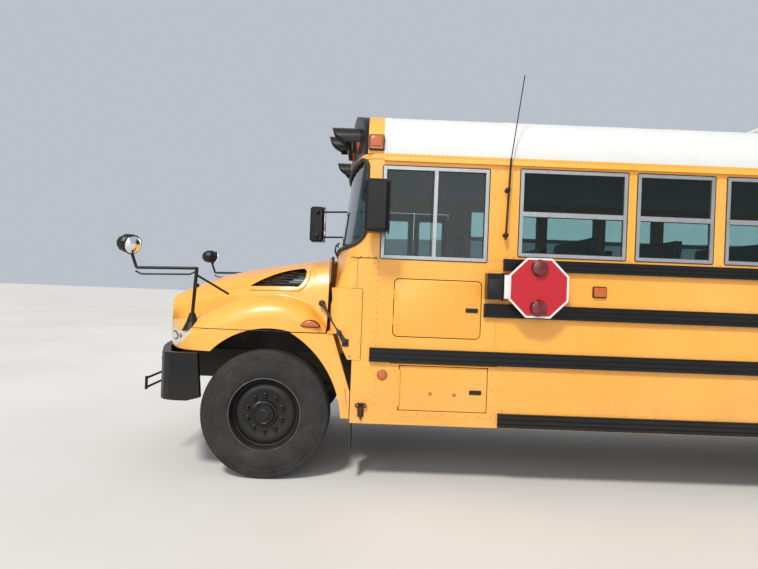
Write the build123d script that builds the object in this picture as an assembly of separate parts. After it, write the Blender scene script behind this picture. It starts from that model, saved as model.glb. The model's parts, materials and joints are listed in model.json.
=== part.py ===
from build123d import *
import math
import os

# A conventional school bus. All sizes are in millimetres.
# X points forward, Y to the driver's side, Z up from the ground.
# Every station along X is measured from the front axle; put() moves the pieces to the middle of the bus.

# Chassis
WHEELBASE = 6450.0
REAR_OVERHANG = 3400.0          # rear axle to the rear face of the rear bumper
FRONT_REACH = 1216.0            # front axle to the tips of the crossover mirrors
MIDDLE_X = (FRONT_REACH - WHEELBASE - REAR_OVERHANG) / 2
RAIL_HALF = 432.0               # outer faces of the frame rails
RAIL_W = 76.0
RAIL_T = 10.0
RAIL_LOW = 680.0
RAIL_HIGH = 935.0
RAIL_NOSE = 900.0
ENGINE = (-430.0, 540.0, 300.0, 650.0, 1480.0)      # rear x, front x, half width, low z, high z
GEARBOX = (-1500.0, -430.0, 210.0, 560.0, 900.0)
SEAT_GAP = 0.3                  # how far a piece lies from what carries it
DOOR_GAP = 6.5                  # clear gap round a door, lid or flap

# Wheels
TYRE_R = 512.0
TYRE_W = 276.0
TREAD_W = 216.0
TYRE_SIDE_R = TYRE_R - 84
TYRE_SIDES = 36
SIDEWALL_LIP = 24.0
RIM_R = 288.0
BEAD_R = RIM_R + 0.3
RIM_HALF_W = 112.0
RIM_T = 12.0
HUB_R = 92.0
SPINDLE_R = 42.0
BEARING_PLAY = 0.05
FRONT_WHEEL_Y = 1030.0          # middle of the front tyre
KINGPIN_Y = 880.0
KINGPIN_R = 20.0
DUAL_SPACING = 330.0
REAR_OUTER_Y = 1068.0           # middle of the outer rear tyre
AXLE_Z = TYRE_R
STEER_GAP = 3.0

# Body shell
BODY_HALF = 1219.0
OUTSIDE = BODY_HALF + 80         # where a cut through both walls starts and ends
WALL = 45.0
SKIRT_Z = 490.0
WALL_TOP = 2560.0
BODY_FRONT = -850.0             # seam between the side wall and the cowl
FLANK_FRONT = -680.0            # front edge of the low side panel ahead of the seam
FLANK_TOP = 1180.0
REAR_BUMPER_D = 130.0
BODY_REAR = -(WHEELBASE + REAR_OVERHANG) + REAR_BUMPER_D
FLOOR_TOP = 1060.0
FLOOR_T = 60.0
WHEELHOUSE_Y = 540.0            # inner side of the boxes over the rear wheels
ARCH_R = 590.0                  # rear axle to the flats of the wheel arch
ARCH_SIDES = 16
ROOF_TOP = 3108.0
ABOVE = ROOF_TOP + 190
CROWN_R = 3000.0
CORNER_R = 350.0
ROOF_T = 45.0

# Windows: rear x, front x, low z, high z
GLASS_T = 6.0
SASH = 26.0
SASH_D = 32.0
WINDOW_LOW = 1840.0
WINDOW_HIGH = 2520.0
WINDOW_W = 606.0
WINDOW_PITCH = 705.0
FIRST_WINDOW_FRONT = -2870.0
DRIVER_WINDOW = (-1703.0, -875.0, 1785.0, 2507.0)
WIDE_WINDOW = (-2790.0, -1950.0, WINDOW_LOW, WINDOW_HIGH)
WINDOW_COUNT = int((FIRST_WINDOW_FRONT - BODY_REAR - 500.0) / WINDOW_PITCH)
LAST_WINDOW = (BODY_REAR + 115.0, FIRST_WINDOW_FRONT - WINDOW_PITCH * WINDOW_COUNT, WINDOW_LOW, WINDOW_HIGH)
SASH_BAR = 36.0
SASH_BAR_Z = 2154.0

# Cowl and windshield
COWL_TOP = 1790.0
COWL_KNEE = 1400.0
COWL_NOSE = -474.0
COWL_BOW = 24.0
COWL_CORNER_R = 120.0
COWL_T = 30.0
TOE_HALF = 960.0
FIREWALL_X = -480.0
SHIELD_LEAN = 100.0             # how far the windshield leans back from the cowl to the cap
SHIELD_TOP = 2600.0
SHIELD_NOSE = -474.0
SHIELD_BOW = 160.0
SHIELD_CORNER_R = 140.0
SHIELD_LOW = 1868.0
SHIELD_HIGH = 2566.0
SHIELD_EDGE = -755.0            # rear edge of the windshield's opening
SHIELD_SWEEP = 165.0
SHIELD_SKIN = 40.0
CAP_T = 30.0
CAP_BROW = (
    # the cap's rounded brow: distance below the roof's top, how far the front is drawn in
    (540.0, 0.0), (120.0, 0.0), (70.0, 8.0), (34.0, 26.0), (10.0, 52.0), (-30.0, 120.0),
)
CAP_BAND = -748.0               # joint between the black cap and the yellow band
CAP_REAR = -872.0

# Rub rails: low z, high z, front x
RUB_RAILS = (
    (1725.0, 1815.0, -1835.0),
    (1355.0, 1461.0, -1695.0),
    (978.0, 1085.0, -815.0),
    (500.0, 605.0, -1834.0),
)
RUB_D = 30.0
RUB_RIB = 8.0

# Doors and flaps: rear x, front x, low z, high z
BATTERY_DOOR = (-1742.0, -1058.0, 608.0, 950.0)
PANEL_DOOR = (-1672.0, -994.0, 1181.0, 1627.0)
FUEL_DOOR = (-3080.0, -2760.0, 640.0, 930.0)
ENTRY_DOOR = (-1690.0, -880.0, 420.0, 2440.0)
REAR_DOOR_HALF = 440.0
REAR_DOOR_LOW = 1010.0
REAR_DOOR_HIGH = 2440.0
LEAF_T = 34.0
FLAP_T = 20.0
LEAF_SEAM = 10.0               # between the two entrance leaves
HINGE_R = 7.3
HINGE_OUT = 4.0                 # hinge axis outside the wall's face

# Hood
HOOD_REAR = -462.0
HOOD_T = 22.0
HOOD_LOW = 1001.0
FENDER_HALF = 1175.0
FENDER_LOW = 1180.0
NOSE_LOW = 1036.0               # lower edge of the nose, clear of the bumper when the hood tilts
HOOD_HINGE_X = 1000.0
HOOD_HINGE_Z = 1020.0
HOOD_HINGE_Y = 250.0
HINGE_PIN_R = 8.0
ARCH_MIDDLE = (-25.0, 545.0)
FRONT_ARCH_R = 655.0

# Bumpers
BUMPER_LOW = 612.0
BUMPER_HIGH = 986.0
BUMPER_T = 50.0
REAR_BUMPER_LOW = 600.0
REAR_BUMPER_HIGH = 880.0

# Stop arm and crossing arm
STOP_SIZE = 457.0
STOP_X = -2085.0
STOP_Z = 1597.0
STOP_Y = 1336.0
STOP_T = 12.0
STOP_HINGE_X = -1838.0
CROSS_HINGE = (1088.0, -940.0)
CROSS_Z = 660.0
CROSS_LENGTH = 1700.0

# Seats
SEAT_PITCH = 680.0
SEAT_FRONT_X = -2080.0          # front edge of the first row's bottom cushion
DRIVER_SEAT_X = -1060.0
DRIVER_SEAT_Y = (350.0, 830.0)
STEER_WHEEL = (-930.0, 590.0, 1740.0)
STEER_WHEEL_R = 236.0
SEAT_DEPTH = 390.0
SEAT_HEIGHT = 440.0             # floor to the top of the bottom cushion
SEAT_T = 130.0
BACK_T = 84.0
BACK_LEAN = 70.0
BACK_RISE = 540.0
AISLE_HALF = 180.0
SEAT_WALL_GAP = 14.0
SEAT_ROWS = int((SEAT_FRONT_X - BODY_REAR - WALL - SEAT_DEPTH - BACK_T - BACK_LEAN) / SEAT_PITCH) + 1

HANGER_X = -4100.0
TANK = (-3700.0, -2500.0, 420.0, 900.0)             # rear x, front x, low z, high z
MUFFLER = (-4300.0, -3000.0, 640.0, 130.0, 45.0)    # rear x, front x, middle z, radius, radius of the pipes
DIFF_R = 175.0
PINION_NOSE = 300.0             # rear axle to the face of the differential's pinion

# Hood: a bonnet between two fenders, moulded in one. One row is one section at station x, left half:
# the fender's side up to its top edge, its crown, the valley beside the bonnet, the crease and the shoulder.
HOOD_SECTIONS = (
    # x, side (y, z), crown (y, z), valley (y, z), crease (y, z), shoulder (y, z), rise of the top
    (HOOD_REAR, (1150.0, 1130.0), (1062.0, 1222.0), (1036.0, 1256.0), (988.0, 1498.0), (893.0, 1700.0), 92.0),
    (-300.0, (1172.0, 1250.0), (1012.0, 1384.0), (986.0, 1400.0), (972.0, 1492.0), (868.0, 1685.0), 92.0),
    (0.0, (1175.0, 1300.0), (965.0, 1450.0), (944.0, 1458.0), (941.0, 1478.0), (808.0, 1645.0), 92.0),
    (330.0, (1168.0, 1230.0), (900.0, 1385.0), (872.0, 1393.0), (872.0, 1440.0), (712.0, 1588.0), 84.0),
    (620.0, (1120.0, 1130.0), (800.0, 1236.0), (775.0, 1245.0), (760.0, 1388.0), (600.0, 1530.0), 70.0),
    (850.0, (1035.0, 1112.0), (738.0, 1196.0), (706.0, 1202.0), (655.0, 1325.0), (520.0, 1450.0), 56.0),
    (1060.0, (900.0, 1092.0), (692.0, 1160.0), (644.0, 1166.0), (560.0, 1250.0), (450.0, 1366.0), 42.0),
)
FENDER_BULGE = 0.2              # bow of the fender's top, as a share of its width
NOSE_X = 1040.0
HOOD_SWEEP = ((330.0, FENDER_HALF), (560.0, 1139.0), (720.0, 1040.0))      # the corner seen from above: x, y
VENT_TOP = ((209.0, 1524.0), (0.0, 1632.0), (-244.0, 1688.0))               # the side vent: x, z
VENT_REAR = ((-266.0, 1668.0), (-255.0, 1592.0), (-205.0, 1532.0))
VENT_RIM = 26.0
VENT_PROUD = 9.0
LOUVRE_T = 10.0
LOUVRE_PITCH = 22.0

STEP_IN = 560.0
STEP_T = 16.0
STEP_RUN = 204.0
STEPS = tuple((STEP_RUN * n - BODY_HALF + WALL, 440.0 + 206.0 * n) for n in range(3))    # outer y, tread z

HATCH_X = (-4720.0, -7900.0)
HATCH_HALF = 300.0
HATCH_RIM = 34.0
HATCH_RIM_TOP = ROOF_TOP + 38
HATCH_LID_T = 46.0

REAR_WALL_LOW = RAIL_HIGH + SEAT_GAP
REAR_PANE = (560.0, BODY_HALF - 159, 1800.0, 2440.0)     # inner y, outer y, low z, high z
REAR_DOOR_PANE = (340.0, 1780.0, 2340.0)        # half width, low z, high z

CORNER_CHORDS = 5
FRONT_CHORDS = 7

LAMP_YS = (560.0, 860.0)
LAMP_Z = 2770.0
LAMP_VISOR_R = 104.0
TAIL_LAMPS = ((1010.0, 1600.0, 90.0), (800.0, 1600.0, 90.0), (1060.0, 1330.0, 52.0))

CROSSOVER_FOOT = (628.0, 1040.0)
CROSSOVER_FOOT_ROWS = ((1150.0, 78.0, 62.0), (1215.0, 46.0, 36.0), (1292.0, 22.0, 22.0))    # z, half length, half width
CROSSOVER_BOWL = (1125.0, 1120.0)
CROSSOVER_BOWL_ROWS = (
    (1758.0, 34.0, 34.0), (1776.0, 68.0, 66.0), (1806.0, 88.0, 86.0), (1842.0, 91.0, 89.0), (1872.0, 76.0, 74.0),
    (1900.0, 34.0, 34.0),
)
MIRROR_FOOT_X = -800.0
MIRROR_OUT = (81.0, 271.0)       # inner and outer face of the housing, from the wall
MIRROR_LEFT = (-922.0, -742.0, 1967.0, 2360.0)
MIRROR_RIGHT = (-190.0, -20.0, 2070.0, 2500.0)

GRILLE = (560.0, 1076.0, 1320.0)

BUMPER_REAR = 500.0

TOW_FRONT_X = RAIL_NOSE - 60
TOW_REAR_X = BODY_REAR - 60
TOW_REACH = 45.0
REAR_TOW_Z = 549.0
TOW_Y = 394.0
TOW_T = 20.0
TOW_Z = 585.0
TOW_R = 22.0

STOP_BOX_L = 125.0
STOP_EAR_Z = 97.0


os.makedirs("parts", exist_ok=True)


def put(name, *solids):
    """Write one piece, with its solids moved from the front axle to the middle of the bus."""
    moved = [Pos(-MIDDLE_X, 0, 0) * s for shape in solids for s in shape.solids()]
    export_step(moved[0] if len(moved) == 1 else Compound(moved), f"parts/{name}.step")


def block(x0, x1, y0, y1, z0, z1):
    """A box between two corners."""
    return Pos((x0 + x1) / 2, (y0 + y1) / 2, (z0 + z1) / 2) * Box(abs(x1 - x0), abs(y1 - y0), abs(z1 - z0))


def along_x(sketch, x0, x1):
    """Extrude a (y, z) sketch from x0 to x1."""
    return extrude(Plane.YZ.offset(x0) * sketch, amount=x1 - x0)


def along_y(sketch, y0, y1):
    """Extrude an (x, z) sketch from y0 to y1."""
    return extrude(Plane.XZ.offset(-y1) * sketch, amount=y1 - y0)


def along_z(sketch, z0, z1):
    """Extrude an (x, y) sketch from z0 to z1."""
    return extrude(Plane.XY.offset(z0) * sketch, amount=z1 - z0)


def poly(*points):
    return make_face(Polyline(*points, close=True))


def rect(a0, a1, b0, b1, radius=0.0):
    """A rectangle in a sketch, with round corners if a radius is given."""
    w, h = abs(a1 - a0), abs(b1 - b0)
    shape = RectangleRounded(w, h, radius) if radius else Rectangle(w, h)
    return Pos((a0 + a1) / 2, (b0 + b1) / 2) * shape


def rod(start, end, radius):
    """A round bar between two points."""
    a, b = Vector(*start), Vector(*end)
    return extrude(Plane(origin=a, z_dir=b - a) * Circle(radius), amount=(b - a).length)


def tube_path(points, radius):
    """An eight-sided bar along straight runs, mitred at its corners."""
    stops = [Vector(*point) for point in points]
    runs = [(b - a).normalized() for a, b in zip(stops, stops[1:])]
    rows = []
    for n, stop in enumerate(stops):
        before, after = runs[max(n - 1, 0)], runs[min(n, len(runs) - 1)]
        along = (before + after).normalized()
        side = along.cross(Vector(0, 0, 1)).normalized()
        up = side.cross(along)
        stretch = 1 / max(0.5, before.dot(along))
        row = []
        for k in range(8):
            a = (k + 0.5) * math.pi / 4
            point = stop + side * (radius * stretch * math.cos(a)) + up * (radius * stretch * math.sin(a))
            row.append(tuple(point))
        rows.append(row)
    return skin(*rows)


def skin(*rows):
    """A solid with flat faces through closed rows of points. Each row is one section, with as many points as the next."""
    rows = [[Vector(*point) for point in row] for row in rows]
    faces = [Face(Wire.make_polygon(rows[0])), Face(Wire.make_polygon(rows[-1]))]
    for low, high in zip(rows, rows[1:]):
        for n, a in enumerate(low):
            m = (n + 1) % len(low)
            b, c, d = low[m], high[m], high[n]
            across = (c - a).cross(d - b).normalized()
            if abs((b - a).dot(across)) < 1e-4:
                faces.append(Face(Wire.make_polygon([a, b, c, d])))
            elif (c - a).length < (d - b).length:
                faces.append(Face(Wire.make_polygon([a, b, c])))
                faces.append(Face(Wire.make_polygon([a, c, d])))
            else:
                faces.append(Face(Wire.make_polygon([a, b, d])))
                faces.append(Face(Wire.make_polygon([b, c, d])))
    return Solid(Shell(faces))


def arc_points(start, middle, end, chords):
    """Points along the arc through three points, both ends included."""
    (ax, ay), (bx, by), (cx, cy) = start, middle, end
    d = 2 * (ax * (by - cy) + bx * (cy - ay) + cx * (ay - by))
    a2, b2, c2 = ax * ax + ay * ay, bx * bx + by * by, cx * cx + cy * cy
    x = (a2 * (by - cy) + b2 * (cy - ay) + c2 * (ay - by)) / d
    y = (a2 * (cx - bx) + b2 * (ax - cx) + c2 * (bx - ax)) / d
    radius = math.hypot(ax - x, ay - y)
    first, half, last = (math.atan2(v - y, u - x) for u, v in (start, middle, end))
    sweep = math.remainder(half - first, 2 * math.pi) + math.remainder(last - half, 2 * math.pi)
    turns = [first + sweep * n / chords for n in range(chords + 1)]
    return [(x + radius * math.cos(a), y + radius * math.sin(a)) for a in turns]


def bow_point(start, end, bulge):
    """The middle of a chord, moved out to its left by a share of its length."""
    (ax, ay), (bx, by) = start, end
    return ((ax + bx) / 2 + (by - ay) * bulge, (ay + by) / 2 - (bx - ax) * bulge)


def mirrored(shape):
    return mirror(shape, about=Plane.XZ)


def both(shape):
    """A piece and its twin on the other side of the bus."""
    return [shape, mirrored(shape)]


def roof_sketch(inset, low):
    """The body's section (y, z) above the windows: upright sides, corner arcs and a crown arc."""
    half, corner, crown = BODY_HALF - inset, CORNER_R - inset, CROWN_R - inset
    corner_y = BODY_HALF - CORNER_R
    crown_z = ROOF_TOP - CROWN_R
    corner_z = crown_z + math.sqrt((CROWN_R - CORNER_R) ** 2 - corner_y ** 2)
    lean = math.asin(corner_y / (CROWN_R - CORNER_R))
    meet = (crown * math.sin(lean), crown_z + crown * math.cos(lean))
    mid = (math.pi / 2 - lean) / 2
    knee = (corner_y + corner * math.cos(mid), corner_z + corner * math.sin(mid))
    edges = [
        Line((half, low), (half, corner_z)),
        ThreePointArc((half, corner_z), knee, meet),
        ThreePointArc(meet, (0, crown_z + crown), (-meet[0], meet[1])),
        ThreePointArc((-meet[0], meet[1]), (-knee[0], knee[1]), (-half, corner_z)),
        Line((-half, corner_z), (-half, low)),
        Line((-half, low), (half, low)),
    ]
    return make_face(edges)


def passenger_windows():
    """Every passenger window of one side."""
    rows = [WIDE_WINDOW]
    for n in range(WINDOW_COUNT):
        front = FIRST_WINDOW_FRONT - n * WINDOW_PITCH
        rows.append((front - WINDOW_W, front, WINDOW_LOW, WINDOW_HIGH))
    rows.append(LAST_WINDOW)
    return rows


# Frame, engine and axles
def chassis_frame():
    channel = rect(RAIL_HALF - RAIL_W, RAIL_HALF, RAIL_LOW, RAIL_HIGH)
    channel -= rect(RAIL_HALF - RAIL_W - 1, RAIL_HALF - RAIL_T, RAIL_LOW + RAIL_T, RAIL_HIGH - RAIL_T)
    rail = along_x(channel, BODY_REAR - SEAT_GAP, RAIL_NOSE)
    parts = both(rail)
    inner = RAIL_HALF - RAIL_T
    for x in (820.0, -1700.0, -3000.0, -4300.0, -5700.0, -7200.0, -8500.0, -9600.0):
        parts.append(block(x - 30, x + 30, -inner, inner, RAIL_LOW + 100, RAIL_HIGH - 20))
    return Part() + parts + floor_sills() + hinge_posts() + tow_eyes()


def floor_sills():
    """Cross members between the frame rails and the floor."""
    low = RAIL_HIGH
    high = FLOOR_TOP - FLOOR_T
    sills = []
    for n in range(10):
        x = -1900.0 - n * 800.0
        if abs(x + WHEELBASE) > ARCH_R + 80:
            sills.append(block(x - 25, x + 25, -(BODY_HALF - WALL - 40), BODY_HALF - WALL - 40, low, high))
        else:
            sills.append(block(x - 25, x + 25, -RAIL_HALF, RAIL_HALF, low, high))
    return sills


def engine_block():
    rear, front, half, low, high = ENGINE
    back, joint, half2, low2, high2 = GEARBOX
    return block(rear, front, -half, half, low, high) + block(back, joint + 10, -half2, half2, low2, high2)


def radiator():
    core = block(640, 740, -400, 400, RAIL_HIGH + SEAT_GAP, 1390)
    core -= block(600, 655, -340, 340, RAIL_HIGH + 60, 1340)
    return core


def leaf_spring(x, y, low, high, half_length):
    """A spring pack: a flat bow under the frame rail with a shackle at each end."""
    bow = Polyline((x - half_length, high), (x - half_length, high - 60), (x - 120, low), (x + 120, low),
                   (x + half_length, high - 60), (x + half_length, high), (x + half_length - 40, high),
                   (x + half_length - 60, high - 20), (x + 130, low + 70), (x - 130, low + 70),
                   (x - half_length + 60, high - 20), (x - half_length + 40, high), close=True)
    return along_y(make_face(bow), y - 38, y + 38)


def front_axle():
    """A dropped beam with an eye for each kingpin, and a spring pack each side."""
    drop = 110.0
    half = KINGPIN_Y
    top, low = AXLE_Z + 40, AXLE_Z - 40
    beam = poly((-half, top), (-half + 90, top), (-half + 260, top - drop), (half - 260, top - drop),
                (half - 90, top), (half, top), (half, low), (half - 110, low), (half - 300, low - drop),
                (-half + 300, low - drop), (-half + 110, low), (-half, low))
    axle = along_x(beam, -45, 45)
    for side in (1, -1):
        axle += Pos(0, side * half, AXLE_Z) * Cylinder(46, 130)
        axle -= Pos(0, side * half, AXLE_Z) * Cylinder(KINGPIN_R + BEARING_PLAY, 200)
    springs = both(leaf_spring(0, RAIL_HALF - RAIL_W / 2, top - drop, RAIL_LOW, 560))
    return Part() + [axle] + springs


def knuckle(side):
    """A steered yoke round the axle's eye, with its kingpin and spindle."""
    ear = 40.0
    gap = 65 + STEER_GAP
    web_in, web_out = KINGPIN_Y + 52, KINGPIN_Y + 84
    body = Pos(0, (web_in + web_out) / 2, AXLE_Z) * Box(104, web_out - web_in, 2 * (gap + ear))
    for up in (1, -1):
        z = AXLE_Z + up * (gap + ear / 2)
        body += Pos(0, KINGPIN_Y, z) * Cylinder(46, ear)
        body += block(-46, 46, KINGPIN_Y, web_out, z - ear / 2, z + ear / 2)
    body += Pos(0, KINGPIN_Y, AXLE_Z) * Cylinder(KINGPIN_R, 2 * (gap + ear) + 16)
    body += rod((0, web_out - 2, AXLE_Z), (0, FRONT_WHEEL_Y + 96, AXLE_Z), SPINDLE_R)
    body += block(-200, -40, KINGPIN_Y + 20, KINGPIN_Y + 56, AXLE_Z - gap - ear, AXLE_Z - gap)
    return body if side > 0 else mirrored(body)


def ring_stack(x, *rings):
    """A many-sided solid round the axle line at x, from rows of (y, flat-to-axle distance)."""
    step = 2 * math.pi / TYRE_SIDES
    rows = []
    for y, reach in rings:
        r = reach / math.cos(step / 2)
        turns = [(n + 0.5) * step for n in range(TYRE_SIDES)]
        rows.append([(x + r * math.cos(a), y, AXLE_Z + r * math.sin(a)) for a in turns])
    return skin(*rows)


def tyre(x, middle):
    """A tyre round the axle line: flat tread, sloped shoulders, hollowed sidewalls and a round bead."""
    h, t = TYRE_W / 2, TREAD_W / 2
    body = ring_stack(x, (middle - h, TYRE_SIDE_R), (middle - t, TYRE_R), (middle + t, TYRE_R), (middle + h, TYRE_SIDE_R))
    for side in (1, -1):
        outer, inner = middle + side * h, middle + side * RIM_HALF_W
        body -= ring_stack(x, (outer, TYRE_SIDE_R - SIDEWALL_LIP), (inner, BEAD_R + 4))
    return body - rod((x, middle - h - 1, AXLE_Z), (x, middle + h + 1, AXLE_Z), BEAD_R)


def wheel(x, side, rim, pockets, hub, bore):
    """Rim, disc and hub in one. Rows of (y, reach) shape each pocket; the others give y from and to."""
    def stretch(ends, radius):
        return rod((x, side * ends[0], AXLE_Z), (x, side * ends[1], AXLE_Z), radius)

    body = stretch(rim, RIM_R)
    for rows in pockets:
        body -= ring_stack(x, *[(side * y, reach) for y, reach in rows])
    return body + stretch(hub, HUB_R) - stretch(bore, SPINDLE_R + BEARING_PLAY)


def front_wheel(side):
    m = FRONT_WHEEL_Y
    outer, inner = m + RIM_HALF_W + 1, m - RIM_HALF_W - 1
    dish = ((outer, RIM_R - RIM_T), (m + 52, RIM_R - 26))
    back = ((inner, RIM_R - 26), (m + 34, RIM_R - 26), (m + 70, 176))
    body = wheel(0, side, (m - RIM_HALF_W, m + RIM_HALF_W), (dish, back), (m - 50, m + 132), (m - 51, m + 102))
    bulge = ring_stack(0, (side * (m + 51), RIM_R - 24), (side * (m + 84), 190))
    bulge -= ring_stack(0, (side * (m + 30), RIM_R - 20), (side * (m + 70), 176))
    bore = rod((0, side * (m + 50), AXLE_Z), (0, side * (m + 102), AXLE_Z), SPINDLE_R + BEARING_PLAY)
    return body + (bulge - bore)


def rear_wheels(side):
    """Two rims on one hub, with the outer disc set deep."""
    outer = REAR_OUTER_Y
    inner = outer - DUAL_SPACING
    mid = (outer + inner) / 2
    dish = ((outer + RIM_HALF_W + 1, RIM_R - RIM_T), (outer - 40, RIM_R - 24), (mid + 12, 200))
    back = ((inner - RIM_HALF_W - 1, RIM_R - 24), (mid - 40, RIM_R - 24), (mid - 12, 200))
    rim = (inner - RIM_HALF_W, outer + RIM_HALF_W)
    return wheel(-WHEELBASE, side, rim, (dish, back), (mid - 80, outer + 60), (mid - 81, outer + 20))


def rear_axle():
    """Axle tube with the differential, a spindle each end and a spring pack each side."""
    mid = REAR_OUTER_Y - DUAL_SPACING / 2
    tube_end = mid - 84
    x = -WHEELBASE
    axle = rod((x, -tube_end, AXLE_Z), (x, tube_end, AXLE_Z), 66)
    axle += ring_stack(x, (-125, DIFF_R - 50), (-75, DIFF_R), (75, DIFF_R), (125, DIFF_R - 50))
    axle += rod((x, 0, AXLE_Z), (x + PINION_NOSE, 0, AXLE_Z), 60)
    for side in (1, -1):
        axle += rod((x, side * (tube_end - 1), AXLE_Z), (x, side * (REAR_OUTER_Y + 14), AXLE_Z), SPINDLE_R)
    springs = both(leaf_spring(x, RAIL_HALF - RAIL_W / 2, AXLE_Z + 40, RAIL_LOW, 700))
    return Part() + [axle] + springs


def driveline():
    """Two drive shafts from the gearbox to the axle, with a hanger under the frame."""
    joint_r = 52.0
    start = (GEARBOX[0] - joint_r - SEAT_GAP, 0, 720)
    mid = (HANGER_X, 0, 690)
    end = (-WHEELBASE + PINION_NOSE + joint_r + SEAT_GAP, 0, AXLE_Z)
    inner = RAIL_HALF - RAIL_T - SEAT_GAP
    hanger = block(HANGER_X - 30, HANGER_X + 30, -inner, inner, RAIL_LOW + 100, RAIL_LOW + 150)
    hanger += block(HANGER_X - 15, HANGER_X + 15, -40, 40, mid[2] + 40, RAIL_LOW + 110)
    shafts = rod(start, mid, 44) + rod(mid, end, 44)
    for x, _, z in (start, mid, end):
        shafts += rod((x, -joint_r, z), (x, joint_r, z), joint_r)
    return shafts + hanger


def fuel_tank():
    """A tank between the rail and the right wall, hung under the floor."""
    rear, front, low, high = TANK
    outer = BODY_HALF - WALL - 44
    tank = chamfer(rect(-outer, -(RAIL_HALF + 30), low, high).vertices(), 44)
    body = along_x(tank, rear, front)
    for x in (rear + 200, front - 200):
        body += block(x - 30, x + 30, -(RAIL_HALF + 60), -RAIL_HALF - SEAT_GAP, high - 100, high - 40)
    x = (FUEL_DOOR[0] + FUEL_DOOR[1]) / 2
    neck = rod((x, 20 - outer, high - 120), (x, -BODY_HALF + WALL + 12, high - 110), 34)
    return body + neck


def exhaust():
    """Muffler on the left of the frame and a tail pipe to the rear."""
    rear, front, z, can_r, pipe_r = MUFFLER
    y = RAIL_HALF + can_r + 60
    can = rod((front, y, z), (rear, y, z), can_r)
    pipe = tube_path([(GEARBOX[0] + 100, 260, z - 80), (front + 700, 320, z - 80), (front + 300, y, z), (front - 10, y, z)], pipe_r)
    over = -WHEELBASE + 900
    tail = tube_path([(rear + 10, y, z), (over, y - 20, z), (over - 500, 520, z + 180), (over - 1250, 520, z + 180),
                      (over - 1700, 640, z - 80), (BODY_REAR + 30, 640, z - 140)], pipe_r)
    straps = Part()
    for x in (front - 200, rear + 200):
        straps += block(x - 20, x + 20, RAIL_HALF + SEAT_GAP, y, z + 60, z + 90)
    return can + pipe + tail + straps


def hood_row(x, side, crown, valley, crease, shoulder, rise, inset):
    """The points of one section, all round, drawn in by the inset."""
    low = HOOD_LOW - 40
    side, crown, valley, crease, shoulder = ((y - inset, z - inset * 0.8)
                                             for y, z in (side, crown, valley, crease, shoulder))
    top = shoulder[1] + rise
    half = [(side[0], low)] + arc_points(side, bow_point(side, crown, FENDER_BULGE), crown, 4) + [valley]
    half += arc_points(crease, bow_point(crease, shoulder, 0.05), shoulder, 2)
    half += arc_points(shoulder, (0, top), (-shoulder[0], shoulder[1]), 12)[1:7]
    return [(x, y, z) for y, z in half] + [(x, -y, z) for y, z in reversed(half[:-1])]


def hood_plan(inset):
    """The hood seen from above: straight sides, swept corners and a bowed nose."""
    (x0, y0), middle, (x1, y1) = HOOD_SWEEP
    start, middle, end = (x0, y0 - inset), (middle[0] - inset * 0.5, middle[1] - inset * 0.9), (x1 - inset * 0.8, y1 - inset * 0.6)
    nose = arc_points(end, (NOSE_X - inset, 0), (end[0], -end[1]), 10)[1:5]
    half = [(HOOD_REAR, y0 - inset)] + arc_points(start, middle, end, 4) + nose
    return poly(*half, (NOSE_X - inset, 0), *[(x, -y) for x, y in reversed(half)])


def hood_side(inset):
    """The hood seen from the side (x, z): the top line and the raked nose."""
    nose = NOSE_X - inset
    return poly((HOOD_REAR, 940.0), (nose, 940.0), (nose - 4, 1150.0), (nose - 40, 1330.0),
                (nose - 160, 1510.0), (700.0, 1700.0), (600.0, 2000.0), (HOOD_REAR, 2000.0))


def hood_block(inset):
    """The hood as a full block, or the space inside its walls."""
    full = skin(*[hood_row(*row, inset) for row in HOOD_SECTIONS])
    return full & along_z(hood_plan(inset), 800, 2100) & along_y(hood_side(inset), -OUTSIDE, OUTSIDE)


def vent_block(grow):
    """A bar right through both vents, grown all round."""
    outline = poly(*arc_points(*VENT_TOP, 4), *arc_points(*VENT_REAR, 3))
    if grow:
        outline = offset(outline, amount=grow, kind=Kind.INTERSECTION)
    return along_y(outline, -OUTSIDE, OUTSIDE)


def hood():
    outside, inside = hood_block(0), hood_block(HOOD_T)
    collar = (hood_block(-VENT_PROUD) & vent_block(VENT_RIM)) - inside
    shell = (outside - inside + collar) - vent_block(0)
    half, low, high = GRILLE
    shell -= block(500, 1100, -half, half, low, high)
    for side in both(lamp_wedge(0)):
        shell -= side
    shell -= block(HOOD_REAR - 50, ARCH_MIDDLE[0], -OUTSIDE, OUTSIDE, 800, FENDER_LOW)
    shell -= Pos(ARCH_MIDDLE[0], 0, ARCH_MIDDLE[1]) * Rot(90, 0, 0) * Cylinder(FRONT_ARCH_R, 2800)
    hem = poly((-2000, 700), (-2000, HOOD_LOW), (850, HOOD_LOW), (930, NOSE_LOW), (1200, NOSE_LOW), (1200, 700))
    shell -= along_y(hem, -OUTSIDE, OUTSIDE)
    return shell + hood_lugs()


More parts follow.
